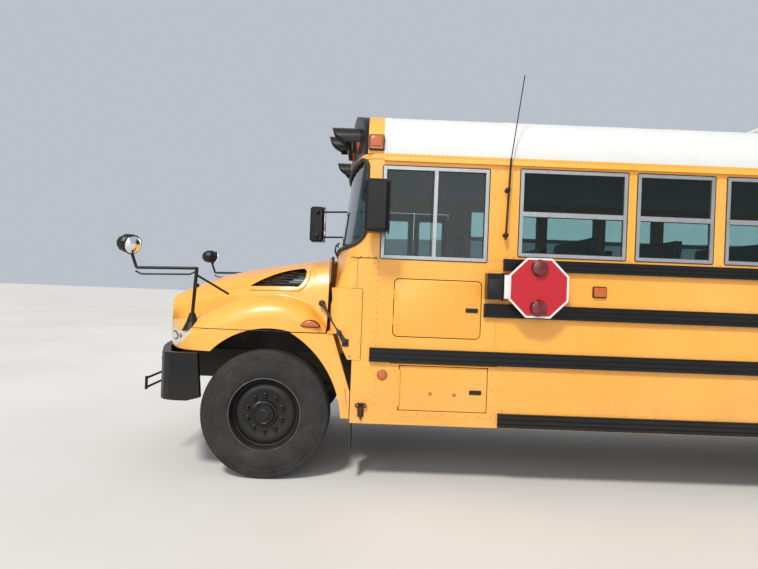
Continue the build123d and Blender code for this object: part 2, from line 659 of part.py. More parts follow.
# Body shell
def side_wall(side):
    """One wall of the body with its windows, wheel arch and doors cut through."""
    sheet = rect(BODY_REAR, BODY_FRONT, SKIRT_Z, WALL_TOP) + rect(BODY_FRONT, FLANK_FRONT, SKIRT_Z, FLANK_TOP)
    for row in passenger_windows():
        sheet -= rect(*row)
    sheet -= Pos(-WHEELBASE, AXLE_Z) * RegularPolygon(ARCH_R, ARCH_SIDES, major_radius=False)
    if side > 0:
        sheet -= rect(*DRIVER_WINDOW)
        for rear, front, low, high in (BATTERY_DOOR, PANEL_DOOR):
            sheet -= rect(rear - DOOR_GAP, front + DOOR_GAP, low - DOOR_GAP, high + DOOR_GAP)
    else:
        rear, front, low, high = ENTRY_DOOR
        sheet -= rect(rear - DOOR_GAP, front + DOOR_GAP, low - 200, high + DOOR_GAP)
        rear, front, low, high = FUEL_DOOR
        sheet -= rect(rear - DOOR_GAP, front + DOOR_GAP, low - DOOR_GAP, high + DOOR_GAP)
    wall = along_y(sheet, BODY_HALF - WALL, BODY_HALF)
    return wall if side > 0 else mirrored(wall)


def rail_stretches(low, high, front, side):
    """Where one rub rail runs: it stops at the wheel arch and at the doors."""
    reach = ARCH_R + 25
    stretches = [(BODY_REAR, front)]
    near = min(abs(low - AXLE_Z), abs(high - AXLE_Z))
    if near < reach:
        half = math.sqrt(reach ** 2 - near ** 2)
        stretches = [(BODY_REAR, -WHEELBASE - half), (-WHEELBASE + half, front)]
    if side < 0:
        last = stretches[-1]
        stretches[-1] = (last[0], min(last[1], ENTRY_DOOR[0] - 60))
        rear, door_front, door_low, door_high = FUEL_DOOR
        if low < door_high and high > door_low:
            last = stretches[-1]
            stretches[-1:] = [(last[0], rear - 30), (door_front + 30, last[1])]
    return stretches


def rub_rails(side):
    """Ribbed rails: a flat bar with three ribs."""
    rails = []
    for low, high, front in RUB_RAILS:
        pitch = (high - low) / 3
        section = rect(BODY_HALF, BODY_HALF + RUB_D - RUB_RIB, low, high)
        for n in range(3):
            z = low + pitch * n
            section += rect(BODY_HALF + RUB_D - RUB_RIB - 1, BODY_HALF + RUB_D, z, z + pitch * 0.68)
        for rear, stop in rail_stretches(low, high, front, side):
            rails.append(along_x(section, rear, stop))
    return rails if side > 0 else [mirrored(r) for r in rails]


def window_sashes(side):
    """Aluminium frames set in the wall: a cross bar on passenger windows, an upright on the driver's."""
    y0, y1 = BODY_HALF - SASH_D + 4, BODY_HALF + 4
    frames = []
    for rear, front, low, high in passenger_windows():
        ring = rect(rear, front, low, high) - rect(rear + SASH, front - SASH, low + SASH, high - SASH)
        ring += rect(rear + SASH - 1, front - SASH + 1, SASH_BAR_Z, SASH_BAR_Z + SASH_BAR)
        frames.append(along_y(ring, y0, y1))
    if side > 0:
        rear, front, low, high = DRIVER_WINDOW
        mid = (rear + front) / 2
        ring = rect(rear, front, low, high) - rect(rear + SASH, front - SASH, low + SASH, high - SASH)
        ring += rect(mid - 14, mid + 14, low + SASH - 1, high - SASH + 1)
        frames.append(along_y(ring, y0, y1))
    return frames if side > 0 else [mirrored(f) for f in frames]


def side_glass(side):
    """Panes between the sash bars, a seat gap off the aluminium all round."""
    y0, y1 = BODY_HALF - 16 - GLASS_T, BODY_HALF - 16
    g = SASH + SEAT_GAP
    panes = []
    for rear, front, low, high in passenger_windows():
        panes.append(block(rear + g, front - g, y0, y1, low + g, SASH_BAR_Z - SEAT_GAP))
        panes.append(block(rear + g, front - g, y0, y1, SASH_BAR_Z + SASH_BAR + SEAT_GAP, high - g))
    if side > 0:
        rear, front, low, high = DRIVER_WINDOW
        mid = (rear + front) / 2
        panes.append(block(rear + g, mid - 14 - SEAT_GAP, y0, y1, low + g, high - g))
        panes.append(block(mid + 14 + SEAT_GAP, front - g, y0, y1, low + g, high - g))
    return panes if side > 0 else [mirrored(p) for p in panes]


def floor_slab():
    half = BODY_HALF - WALL - SEAT_GAP
    slab = block(BODY_REAR + WALL, BODY_FRONT, -half, half, FLOOR_TOP - FLOOR_T, FLOOR_TOP)
    toe = TOE_HALF - 8 - SEAT_GAP
    slab += block(BODY_FRONT - 1, FIREWALL_X - 32 - SEAT_GAP, -toe, toe, FLOOR_TOP - FLOOR_T, FLOOR_TOP)
    well = ARCH_R + 10
    for side in (1, -1):
        slab -= block(-WHEELBASE - well, -WHEELBASE + well, side * WHEELHOUSE_Y, side * OUTSIDE, FLOOR_TOP - 160, FLOOR_TOP + 140)
    rear, front = ENTRY_DOOR[0], ENTRY_DOOR[1]
    slab -= block(rear + 20, front - 20, -STEP_IN, -OUTSIDE, FLOOR_TOP - 160, FLOOR_TOP + 140)
    return slab


def step_well():
    """Three treads and risers inside the entrance, between two side plates."""
    rear, front = ENTRY_DOOR[0] + 20 + SEAT_GAP, ENTRY_DOOR[1] - 20 - SEAT_GAP
    top = FLOOR_TOP
    inside = -STEP_IN - SEAT_GAP
    outline = [(STEPS[0][0], STEPS[0][1]), (STEPS[1][0], STEPS[0][1]), (STEPS[1][0], STEPS[1][1]),
               (STEPS[2][0], STEPS[1][1]), (STEPS[2][0], STEPS[2][1]), (inside - STEP_T, STEPS[2][1]),
               (inside - STEP_T, top), (inside, top), (inside, STEPS[2][1] - STEP_T),
               (STEPS[2][0] + STEP_T, STEPS[2][1] - STEP_T), (STEPS[2][0] + STEP_T, STEPS[1][1] - STEP_T),
               (STEPS[1][0] + STEP_T, STEPS[1][1] - STEP_T), (STEPS[1][0] + STEP_T, STEPS[0][1] - STEP_T),
               (STEPS[0][0], STEPS[0][1] - STEP_T)]
    stair = along_x(poly(*outline), rear, front)
    cheek = poly((STEPS[0][0], STEPS[0][1] - STEP_T), (STEPS[1][0] + STEP_T, STEPS[0][1] - STEP_T),
                 (inside, STEPS[2][1] - STEP_T), (inside, top), (STEPS[0][0], top))
    return stair + along_x(cheek, rear, rear + 8) + along_x(cheek, front - 8, front)


def wheelhouses():
    """Boxes over the rear wheels, open below and towards the wall."""
    well, t = ARCH_R + 10 - SEAT_GAP, 8.0
    inside = WHEELHOUSE_Y + SEAT_GAP
    top, wall = FLOOR_TOP + 130, BODY_HALF - WALL - SEAT_GAP
    shell = block(-WHEELBASE - well, -WHEELBASE + well, inside, wall, FLOOR_TOP - FLOOR_T, top)
    shell -= block(-WHEELBASE - well + t, -WHEELBASE + well - t, inside + t, wall + 50, FLOOR_TOP - 160, top - t)
    return both(shell)


def roof():
    outer = along_x(roof_sketch(0, WALL_TOP), BODY_REAR, CAP_REAR)
    inner = along_x(roof_sketch(ROOF_T, WALL_TOP - 10), BODY_REAR - 10, CAP_REAR + 10)
    shell = outer - inner
    for x in HATCH_X:
        shell -= block(x - HATCH_HALF, x + HATCH_HALF, -HATCH_HALF, HATCH_HALF, ROOF_TOP - 200, ABOVE)
    return shell + hatch_rims() + [roof_band()]


def hatch_rims():
    """Raised rims round the roof hatches, seated on the curved roof."""
    rims = []
    out = HATCH_HALF + HATCH_RIM
    for x in HATCH_X:
        rim = block(x - out, x + out, -out, out, ROOF_TOP - 68, HATCH_RIM_TOP)
        rim -= block(x - HATCH_HALF, x + HATCH_HALF, -HATCH_HALF, HATCH_HALF, ROOF_TOP - 108, ABOVE)
        rims.append(rim - along_x(roof_sketch(5, WALL_TOP), BODY_REAR, CAP_REAR))
    return rims


def hatch_lid(x):
    """A lid with a soft edge, hinged along its front."""
    out = HATCH_HALF + HATCH_RIM + 14
    low = HATCH_RIM_TOP + SEAT_GAP
    lid = block(x - out, x + out, -out, out, low, low + HATCH_LID_T)
    lid = chamfer(lid.edges().group_by(Axis.Z)[-1], 30)
    axis_x, axis_z = x + out + HINGE_R, low + 8
    return lid + rod((axis_x, -220, axis_z), (axis_x, 220, axis_z), HINGE_R + 1)


def rear_wall():
    """The flat rear panel with the door opening and a window each side."""
    inner_half = BODY_HALF - WALL - SEAT_GAP
    panel = rect(-inner_half, inner_half, REAR_WALL_LOW, WALL_TOP - SEAT_GAP)
    g = DOOR_GAP
    panel -= rect(-REAR_DOOR_HALF - g, REAR_DOOR_HALF + g, REAR_DOOR_LOW - g, REAR_DOOR_HIGH + g)
    for side in (1, -1):
        panel -= rect(side * REAR_PANE[0], side * REAR_PANE[1], REAR_PANE[2], REAR_PANE[3], 40)
    wall = along_x(panel, BODY_REAR, BODY_REAR + WALL)
    cap = along_x(roof_sketch(ROOF_T + SEAT_GAP, WALL_TOP - 2), BODY_REAR, BODY_REAR + WALL)
    return wall + cap + rear_visors()


def front_points(nose, bow, corner, inset):
    """Points of the body's front from above (x, y): straight sides, round corners and a bowed front."""
    half, tip, rear = BODY_HALF - inset, nose - inset, BODY_FRONT - 2 * inset
    corner -= inset
    radius = (half ** 2 + bow ** 2) / (2 * bow)
    hub = tip - radius
    corner_x = hub + math.sqrt((radius - corner) ** 2 - (half - corner) ** 2)
    meet = math.atan2(half - corner, corner_x - hub)
    left = [(rear, half)]
    for n in range(CORNER_CHORDS + 1):
        a = math.pi / 2 + (meet - math.pi / 2) * n / CORNER_CHORDS
        left.append((corner_x + corner * math.cos(a), half - corner + corner * math.sin(a)))
    for n in range(1, FRONT_CHORDS):
        a = meet * (1 - n / FRONT_CHORDS)
        left.append((hub + radius * math.cos(a), radius * math.sin(a)))
    return left + [(tip, 0.0)] + [(x, -y) for x, y in reversed(left)]


def front_plan(nose, bow, corner, inset):
    return poly(*front_points(nose, bow, corner, inset))


def front_stack(*rows):
    """A block with the body's front, from rows of (z, nose, bow, corner radius, inset)."""
    return skin(*[[(x, y, z) for x, y in front_points(*row)] for z, *row in rows])


def shield_solid(inset):
    """The raked block round the windshield, from the cowl's top to the cap."""
    back = SHIELD_NOSE - SHIELD_LEAN
    return front_stack((COWL_TOP, SHIELD_NOSE, SHIELD_BOW, SHIELD_CORNER_R, inset),
                       (SHIELD_TOP, back, SHIELD_BOW, SHIELD_CORNER_R, inset))


def shield_opening(gap):
    """The windshield's opening seen from the side (x, z), swept up at its rear foot."""
    rear, low, high = SHIELD_EDGE + gap, SHIELD_LOW + gap, SHIELD_HIGH - gap
    r, k = SHIELD_SWEEP - gap, math.sqrt(0.5)
    foot = arc_points((rear, low + r), (rear + r - r * k, low + r - r * k), (rear + r, low), 6)
    r = 70.0 - gap
    brow = arc_points((rear + r, high), (rear + r - r * k, high - r + r * k), (rear, high - r), 3)
    return along_y(poly(*foot, (-300.0, low), (-300.0, high), *brow), -OUTSIDE, OUTSIDE)


def windshield_frame():
    """Front pillars, header and sill round the windshield."""
    frame = shield_solid(0) - shield_solid(SHIELD_SKIN)
    return frame - shield_opening(0)


def windshield():
    """One bent pane set in the middle of the frame's depth, with its black gasket left to the finish."""
    pane = shield_solid(14) - shield_solid(14 + GLASS_T)
    return pane & shield_opening(SEAT_GAP)


def cowl():
    """Flanks and front below the windshield, the firewall and the toe boards."""
    def solid(inset):
        return front_stack((FLANK_TOP, COWL_NOSE, COWL_BOW, COWL_CORNER_R, inset),
                           (COWL_KNEE, COWL_NOSE, COWL_BOW, COWL_CORNER_R, inset),
                           (COWL_TOP, SHIELD_NOSE, SHIELD_BOW, SHIELD_CORNER_R, inset))
    shell = solid(0) - solid(COWL_T)
    base = FLOOR_TOP - FLOOR_T
    shell += block(FIREWALL_X - 32, FIREWALL_X, -TOE_HALF, TOE_HALF, base, FLANK_TOP + 10)
    for side in (1, -1):
        wall = BODY_HALF - COWL_T + 1
        shell += block(BODY_FRONT, FIREWALL_X, side * (TOE_HALF - 8), side * wall, FLANK_TOP, FLANK_TOP + 12)
        shell += block(BODY_FRONT, FIREWALL_X, side * (TOE_HALF - 8), side * TOE_HALF, base, FLANK_TOP + 6)
    return shell


def fender_foot():
    """The panel behind the front wheel, from the hood's lower edge down to the skirt."""
    edges = [
        ThreePointArc((-189.0, 1172.0), (-448.0, 941.0), (-606.0, 513.0)),
        Line((-606.0, 513.0), (-656.0, 513.0)),
        ThreePointArc((-656.0, 513.0), (-604.0, 860.0), (-482.0, 1172.0)),
        Line((-482.0, 1172.0), (-189.0, 1172.0)),
    ]
    foot = along_y(make_face(edges), FENDER_HALF - 60, FENDER_HALF)
    liner = poly((-478.0, 1182.0), (-478.0, 1150.0), (-650.0, 700.0), (-650.0, 513.0), (-671.0, 513.0),
                 (-671.0, 720.0), (-520.0, 1182.0))
    return foot + along_y(liner, FENDER_HALF - 200, FENDER_HALF)


def front_cap():
    """The moulded cap over the windshield, round at its front edge."""
    def solid(inset):
        body = along_x(roof_sketch(inset, SHIELD_TOP), BODY_FRONT, -300.0)
        stack = []
        for down, drawn in CAP_BROW:
            stack.append((ROOF_TOP - down - inset, SHIELD_NOSE - SHIELD_LEAN, SHIELD_BOW, SHIELD_CORNER_R, drawn + inset))
        return body & front_stack(*stack)
    cap = solid(0) - solid(CAP_T)
    cap = cap & block(CAP_BAND, -300, -OUTSIDE, OUTSIDE, SHIELD_TOP + SEAT_GAP, ABOVE)
    return cap + front_visors()


def roof_band():
    """The painted bow that joins the roof to the front cap."""
    section = roof_sketch(0, WALL_TOP) - roof_sketch(ROOF_T, WALL_TOP - 10)
    bow = section & rect(-OUTSIDE, OUTSIDE, SHIELD_TOP + SEAT_GAP, ABOVE)
    return along_x(bow, CAP_REAR, CAP_BAND - SEAT_GAP)


# Lamps, mirrors and small pieces outside
def cap_block(gap):
    """The space inside the front cap's upright face, grown by a gap."""
    plan = front_plan(SHIELD_NOSE - SHIELD_LEAN, SHIELD_BOW, SHIELD_CORNER_R, -gap)
    return along_z(plan, SHIELD_TOP - 100, ABOVE)


def lamps():
    """Warning lamps at both ends, side markers at the front, and the tail, stop and signal lamps."""
    found = []
    x = BODY_REAR - SEAT_GAP
    for y in LAMP_YS:
        found += both(rod((-700, y, LAMP_Z), (front_arc_x(y) + 36, y, LAMP_Z), 90) - cap_block(SEAT_GAP))
        found += both(rod((x, y, LAMP_Z), (x - 34, y, LAMP_Z), 90))
    found += both(block(-863, -760, BODY_HALF + SEAT_GAP, BODY_HALF + 26, 2632, 2738))
    for y, z, r in TAIL_LAMPS:
        found += both(rod((x, y, z), (x - 28, y, z), r))
    return found


def front_arc_x(y):
    """Station of the front cap's bowed face at width y."""
    radius = (BODY_HALF ** 2 + SHIELD_BOW ** 2) / (2 * SHIELD_BOW)
    return SHIELD_NOSE - SHIELD_LEAN - radius + math.sqrt(radius ** 2 - y ** 2)


def visor_ring():
    """The section of a lamp's visor: a ring open below."""
    return Circle(LAMP_VISOR_R) - Circle(LAMP_VISOR_R - 5) - rect(-200, 200, -200, -20)


def front_visors():
    visors = []
    for y in LAMP_YS:
        tunnel = Pos(-720, y, LAMP_Z) * extrude(Plane.YZ * visor_ring(), amount=front_arc_x(y) + 720 + 120)
        visors += both(tunnel - cap_block(-3))
    return visors


def rear_visors():
    visors = []
    for y in LAMP_YS:
        visors += both(Pos(BODY_REAR + 2, y, LAMP_Z) * extrude(Plane.YZ * visor_ring(), amount=-112))
    return visors


def side_mirror(side):
    """A tall housing held by two bent arms. The right one stands further forward."""
    rear, front, low, high = MIRROR_LEFT if side > 0 else MIRROR_RIGHT
    inner, outer = BODY_HALF + MIRROR_OUT[0], BODY_HALF + MIRROR_OUT[1]
    case = block(rear, front, inner, outer, low, high)
    case = chamfer(case.edges(), 24)
    mid_x, mid_y = (rear + front) / 2, (inner + outer) / 2
    arms = Part()
    for z in (high - 60, low + 60):
        if side > 0:
            arms += rod((mid_x, mid_y, z), (MIRROR_FOOT_X, BODY_HALF + 12, z + 20), 11)
            arms += rod((MIRROR_FOOT_X, BODY_HALF + SEAT_GAP, z + 20), (MIRROR_FOOT_X, BODY_HALF + 22, z + 20), 24)
        else:
            arms += rod((mid_x, mid_y, z), (MIRROR_FOOT_X, BODY_HALF + 12, z + 10), 11)
            arms += rod((MIRROR_FOOT_X, BODY_HALF + SEAT_GAP, z + 10), (MIRROR_FOOT_X, BODY_HALF + 22, z + 10), 24)
    mirror_piece = case + arms
    return mirror_piece if side > 0 else mirrored(mirror_piece)


def oval_stack(middle, *rows):
    """A twelve-sided upright form round (x, y), from rows of (z, half length, half width), measured to its flats."""
    x, y = middle
    reach = 1 / math.cos(math.pi / 12)
    turns = [(n + 0.5) * math.pi / 6 for n in range(12)]
    return skin(*[[(x + a * reach * math.cos(t), y + b * reach * math.sin(t), z) for t in turns] for z, a, b in rows])


def crossover_mirror():
    """A convex mirror on the left fender: a footed post, a bent arm and the bowl."""
    foot = oval_stack(CROSSOVER_FOOT, *CROSSOVER_FOOT_ROWS)
    x, y = CROSSOVER_FOOT
    post = rod((x, y, 1280), (x - 38, y + 50, 1660), 14)
    bowl_x, bowl_y = CROSSOVER_BOWL
    arm = rod((x - 38, y + 50, 1652), (bowl_x - 65, bowl_y, 1640), 12)
    stem = rod((bowl_x - 65, bowl_y, 1640), (bowl_x - 15, bowl_y, 1780), 12)
    bowl = oval_stack(CROSSOVER_BOWL, *CROSSOVER_BOWL_ROWS)
    brace = rod((x - 34, y + 45, 1600), (x - 278, y - 40, 1452), 9)
    return foot + post + arm + stem + bowl + brace - hood_block(0)


def headlamp():
    """The left lamp: a wedge that wraps round the hood's corner."""
    band = along_z(hood_plan(0) - hood_plan(HOOD_T), 900, 1300)
    return lamp_wedge(SEAT_GAP) & band


def lamp_wedge(gap):
    wedge = poly((606.0 + 3 * gap, 1144.0 - gap), (1060.0, 1146.0 - gap), (1060.0, 1016.0 + gap),
                 (800.0, 1016.0 + gap), (700.0, 1060.0 + gap))
    return along_y(wedge, 660.0 + gap, OUTSIDE)


def grille():
    """A dark insert with level bars and two uprights, set in the nose."""
    half, low, high = GRILLE
    plan = hood_plan(10) - hood_plan(22)
    sheet = along_z(plan, low, high) & along_x(rect(-half, half, low, high), 500, 1100)
    half, low, high = half - SEAT_GAP, low + SEAT_GAP, high - SEAT_GAP
    bars = Part()
    pitch = (high - low) / 7
    for n in range(1, 7):
        bars += sheet & block(500, 1100, -half, half, low + n * pitch - 9, low + n * pitch + 9)
    for y in (-half, -half / 3, half / 3, half):
        bars += sheet & block(500, 1100, max(y - 10, -half), min(y + 10, half), low, high)
    return bars


def vent_louvres():
    """Slotted sheets inside the hood, behind the two side vents."""
    sheet = hood_block(HOOD_T + SEAT_GAP) - hood_block(HOOD_T + LOUVRE_T)
    sheet = sheet & vent_block(VENT_RIM)
    slots = vent_block(-6)
    for n in range(7):
        z = VENT_REAR[-1][1] + 8 + LOUVRE_PITCH * n
        sheet -= slots & block(-400, 400, -OUTSIDE, OUTSIDE, z, z + LOUVRE_PITCH / 2)
    return sheet.solids()


def bumper_plan(inset):
    """The bumper from above (x, y): bowed front, round corners and straight ends."""
    half, nose = BODY_HALF - 20 - inset, 1050.0 - inset
    corner = arc_points((690.0, half), (790.0 - inset * 0.7, half - 36.0), (850.0 - inset, half - 150.0), 4)
    bow = arc_points((850.0 - inset, half - 150.0), (nose, 0), (850.0 - inset, -half + 150.0), 12)[1:7]
    left = [(BUMPER_REAR, half)] + corner + bow
    return poly(*left, *[(x, -y) for x, y in reversed(left[:-1])])


def front_bumper():
    """A deep wrapped channel carried on the frame rails."""
    skin = along_z(bumper_plan(0) - bumper_plan(BUMPER_T), BUMPER_LOW, BUMPER_HIGH)
    ends = poly((500.0, 640.0), (600.0, BUMPER_LOW), (640.0, BUMPER_LOW), (1200.0, BUMPER_LOW),
                (1200.0, BUMPER_HIGH), (530.0, BUMPER_HIGH))
    skin = skin & along_y(ends, -OUTSIDE, OUTSIDE)
    for side in (1, -1):
        skin += block(RAIL_NOSE + SEAT_GAP, 1010, side * (RAIL_HALF - RAIL_W), side * RAIL_HALF,
                      RAIL_LOW + 10, RAIL_HIGH - 10)
    return skin


def hinge_posts():
    """A cross bar on the frame's nose with two arms that carry the hood's hinge pins."""
    bar = block(840, 880, -RAIL_HALF, RAIL_HALF, RAIL_HIGH, RAIL_HIGH + 40)
    posts = [bar]
    for side in (1, -1):
        y0, y1 = side * (HOOD_HINGE_Y - 8), side * (HOOD_HINGE_Y + 8)
        arm = block(850, 880, y0, y1, RAIL_HIGH + 30, HOOD_HINGE_Z + 14)
        arm += block(850, HOOD_HINGE_X, y0, y1, HOOD_HINGE_Z - 14, HOOD_HINGE_Z + 14)
        arm += rod((HOOD_HINGE_X, y0, HOOD_HINGE_Z), (HOOD_HINGE_X, y1, HOOD_HINGE_Z), 16)
        arm -= rod((HOOD_HINGE_X, y0 - side, HOOD_HINGE_Z), (HOOD_HINGE_X, y1 + side, HOOD_HINGE_Z),
                   HINGE_PIN_R + BEARING_PLAY)
        posts.append(arm)
    return posts


def hood_lugs():
    """Two plates either side of each hinge arm, joined by the pin."""
    lugs = []
    for side in (1, -1):
        for y in (HOOD_HINGE_Y - 22, HOOD_HINGE_Y + 10):
            y0, y1 = side * y, side * (y + 12)
            lugs.append(block(HOOD_HINGE_X - 14, HOOD_HINGE_X + 12, y0, y1, HOOD_HINGE_Z - 14, NOSE_LOW + 50))
        start, end = side * (HOOD_HINGE_Y - 20), side * (HOOD_HINGE_Y + 20)
        lugs.append(rod((HOOD_HINGE_X, start, HOOD_HINGE_Z), (HOOD_HINGE_X, end, HOOD_HINGE_Z), HINGE_PIN_R))
    return lugs


def tow_eyes():
    """A plate under each end of both rails, with a hole for a tow shackle."""
    front = rect(TOW_FRONT_X - TOW_REACH, TOW_FRONT_X + TOW_REACH, TOW_Z - TOW_REACH, RAIL_LOW)
    top = REAR_BUMPER_LOW - 6
    rear = poly((TOW_REAR_X - TOW_REACH, REAR_TOW_Z - TOW_REACH), (BODY_REAR, REAR_TOW_Z - TOW_REACH),
                (BODY_REAR + 140, RAIL_LOW - 40), (BODY_REAR + 140, RAIL_LOW), (BODY_REAR + 4, RAIL_LOW),
                (BODY_REAR + 4, top), (TOW_REAR_X - TOW_REACH, top))
    eyes = []
    for outline, x, z in ((front, TOW_FRONT_X, TOW_Z), (rear, TOW_REAR_X, REAR_TOW_Z)):
        for side in (1, -1):
            y0, y1 = side * (TOW_Y - TOW_T / 2), side * (TOW_Y + TOW_T / 2)
            plate = along_y(outline, min(y0, y1), max(y0, y1))
            eyes.append(plate - rod((x, y0 - side, z), (x, y1 + side, z), TOW_R))
    return eyes


def rear_bumper():
    half = BODY_HALF
    back = -(WHEELBASE + REAR_OVERHANG)
    bar = rect(back, BODY_REAR - 2 * SEAT_GAP, -half, half)
    bar = chamfer(bar.vertices().sort_by(Axis.X)[:2], 70)
    return along_z(bar, REAR_BUMPER_LOW, REAR_BUMPER_HIGH)


def mud_flaps():
    flaps = both(block(-690, -680, 760, 1140, 210, 1000))
    flaps += both(block(-WHEELBASE - ARCH_R - 60, -WHEELBASE - ARCH_R - 50, 700, 1170, 230, FLOOR_TOP - FLOOR_T - SEAT_GAP))
    return flaps


# Doors and flaps
def flap(row, side):
    """A flap in the wall, hinged at its front edge on the wall's face."""
    rear, front, low, high = row
    leaf = along_y(rect(rear, front, low, high, 12), BODY_HALF - FLAP_T, BODY_HALF)
    barrel = rod((front, BODY_HALF + HINGE_OUT, low + 30), (front, BODY_HALF + HINGE_OUT, high - 30), HINGE_R)
    piece = leaf + barrel
    return piece if side > 0 else mirrored(piece)


def compartments():
    """Sheet boxes behind the battery and panel doors, open towards them."""
    t, depth = 6.0, 420.0
    boxes = []
    for (rear, front, low, high), deep in ((BATTERY_DOOR, depth), (PANEL_DOOR, 120.0)):
        y1 = BODY_HALF - WALL - SEAT_GAP
        box = block(rear - 20, front + 20, y1 - deep, y1, low - 20, high + 20)
        box -= block(rear - 20 + t, front + 20 - t, y1 - deep + t, y1 + 10, low - 20 + t, high + 20 - t)
        boxes.append(box)
    return boxes


def entry_leaf(front_half):
    """One leaf of the entrance door: a frame round two panes, hinged at its outer edge."""
    rear, front, low, high = ENTRY_DOOR
    mid = (rear + front) / 2
    x0, x1 = (mid + LEAF_SEAM / 2, front) if front_half else (rear, mid - LEAF_SEAM / 2)
    face = rect(x0, x1, low, high)
    face -= rect(x0 + 60, x1 - 60, low + 130, low + 830, 30)
    face -= rect(x0 + 60, x1 - 60, low + 930, high - 90, 30)
    leaf = along_y(face, BODY_HALF - LEAF_T, BODY_HALF)
    x = front if front_half else rear
    barrel = rod((x, BODY_HALF + HINGE_OUT, low + 40), (x, BODY_HALF + HINGE_OUT, high - 40), HINGE_R)
    return mirrored(leaf + barrel)


def entry_panes(front_half):
    rear, front, low, high = ENTRY_DOOR
    mid = (rear + front) / 2
    x0, x1 = (mid + LEAF_SEAM / 2, front) if front_half else (rear, mid - LEAF_SEAM / 2)
    y0, y1 = BODY_HALF - 20 - GLASS_T, BODY_HALF - 20
    g = SEAT_GAP
    faces = rect(x0 + 60 + g, x1 - 60 - g, low + 130 + g, low + 830 - g, 30 - g)
    upper = rect(x0 + 60 + g, x1 - 60 - g, low + 930 + g, high - 90 - g, 30 - g)
    return [mirrored(along_y(faces, y0, y1)), mirrored(along_y(upper, y0, y1))]


def rear_door():
    half, low, high = REAR_DOOR_HALF, REAR_DOOR_LOW, REAR_DOOR_HIGH
    face = rect(-half, half, low, high, 12)
    pane_half, pane_low, pane_high = REAR_DOOR_PANE
    face -= rect(-pane_half, pane_half, pane_low, pane_high, 40)
    leaf = along_x(face, BODY_REAR, BODY_REAR + LEAF_T)
    x = BODY_REAR - HINGE_OUT
    for z in (low + 200, (low + high) / 2, high - 200):
        leaf += rod((x, -half, z - 70), (x, -half, z + 70), HINGE_R)
    leaf += block(x - 30, x + 6, 300, 330, 1500, 1700)
    return leaf


def pane_x(half0, half1, low, high, radius, x):
    face = rect(half0 + SEAT_GAP, half1 - SEAT_GAP, low + SEAT_GAP, high - SEAT_GAP, radius - SEAT_GAP)
    return along_x(face, x, x + GLASS_T)


def rear_glass():
    inner, outer, low, high = REAR_PANE
    return both(pane_x(inner, outer, low, high, 40, BODY_REAR + 18))


def stop_arm():
    """The octagon on its hinge plate, folded back against the side. Its face is bare."""
    r = STOP_SIZE / 2
    octagon = Pos(STOP_X, STOP_Z) * Rot(0, 0, 22.5) * RegularPolygon(r, 8, major_radius=False)
    blade = along_y(octagon, STOP_Y, STOP_Y + STOP_T)
    plate = block(STOP_X + r - 60, STOP_HINGE_X + 1, STOP_Y, STOP_Y + STOP_T, STOP_Z - 90, STOP_Z + 90)
    y, reach = STOP_Y + STOP_T / 2, STOP_EAR_Z - SEAT_GAP
    barrel = rod((STOP_HINGE_X, y, STOP_Z - reach), (STOP_HINGE_X, y, STOP_Z + reach), 9)
    lamps = Part()
    for z in (STOP_Z - 152, STOP_Z + 152):
        lamps += rod((STOP_X, STOP_Y - 26, z), (STOP_X, STOP_Y + STOP_T + 26, z), 56)
    return blade + plate + barrel + lamps


def stop_motor():
    """The box that carries the stop arm's hinge between two ears."""
    back = STOP_HINGE_X + 15
    y = STOP_Y + STOP_T / 2
    box = block(back, back + STOP_BOX_L, BODY_HALF + SEAT_GAP, y - 14, STOP_Z - 100, STOP_Z + 100)
    for z in (STOP_Z - STOP_EAR_Z - 8, STOP_Z + STOP_EAR_Z):
        box += block(STOP_HINGE_X - 10, back + 20, y - 26, y + 10, z, z + 8)
    return box


def crossing_arm():
    """A long gate folded along the bumper, hinged at its right end."""
    x, y = CROSS_HINGE
    barrel = rod((x, y, CROSS_Z - 60), (x, y, CROSS_Z + 60), 14)
    gate = rod((x, y, CROSS_Z + 40), (x, y + CROSS_LENGTH, CROSS_Z + 40), 10)
    gate += rod((x, y, CROSS_Z - 40), (x, y + CROSS_LENGTH, CROSS_Z - 40), 10)
    gate += rod((x, y + CROSS_LENGTH, CROSS_Z - 56), (x, y + CROSS_LENGTH, CROSS_Z + 56), 12)
    return barrel + gate


def crossing_motor():
    x, y = CROSS_HINGE
    box = block(800, x - 16, y - 60, y + 60, CROSS_Z - 40, CROSS_Z + 90)
    box -= along_z(bumper_plan(-SEAT_GAP), BUMPER_LOW - 50, BUMPER_HIGH)
    box += block(x - 30, x + 16, y - 16, y + 16, CROSS_Z + 60 + SEAT_GAP, CROSS_Z + 72)
    box += block(x - 30, x + 16, y - 16, y + 16, CROSS_Z - 72, CROSS_Z - 60 - SEAT_GAP)
    return box + block(x - 30, x - 17, y - 16, y + 16, CROSS_Z - 72, CROSS_Z)


# Cabin
def seat(front, y0, y1):
    """One bench: a bottom cushion, a leaning back and a leg frame beside the aisle."""
    rear, high = front - SEAT_DEPTH, FLOOR_TOP + SEAT_HEIGHT
    low = high - SEAT_T
    bottom = along_y(chamfer(rect(rear, front, low, high).vertices(), 22), y0, y1)
    foot = rear - SEAT_GAP
    back = poly((foot, low), (foot - BACK_T, low), (foot - BACK_T - BACK_LEAN, high + BACK_RISE),
                (foot - BACK_LEAN, high + BACK_RISE), (foot, high))
    back = along_y(chamfer(back.vertices().sort_by(Axis.Y)[-2:], 24), y0, y1)
    y = y0 + 70
    leg = block(front - 60, front - 30, y, y + 30, FLOOR_TOP, low - SEAT_GAP)
    leg += block(rear + 10, rear + 40, y, y + 30, FLOOR_TOP, low - SEAT_GAP)
    leg += block(rear + 10, front - 30, y, y + 30, low - 40, low - SEAT_GAP)
    return bottom, back, leg


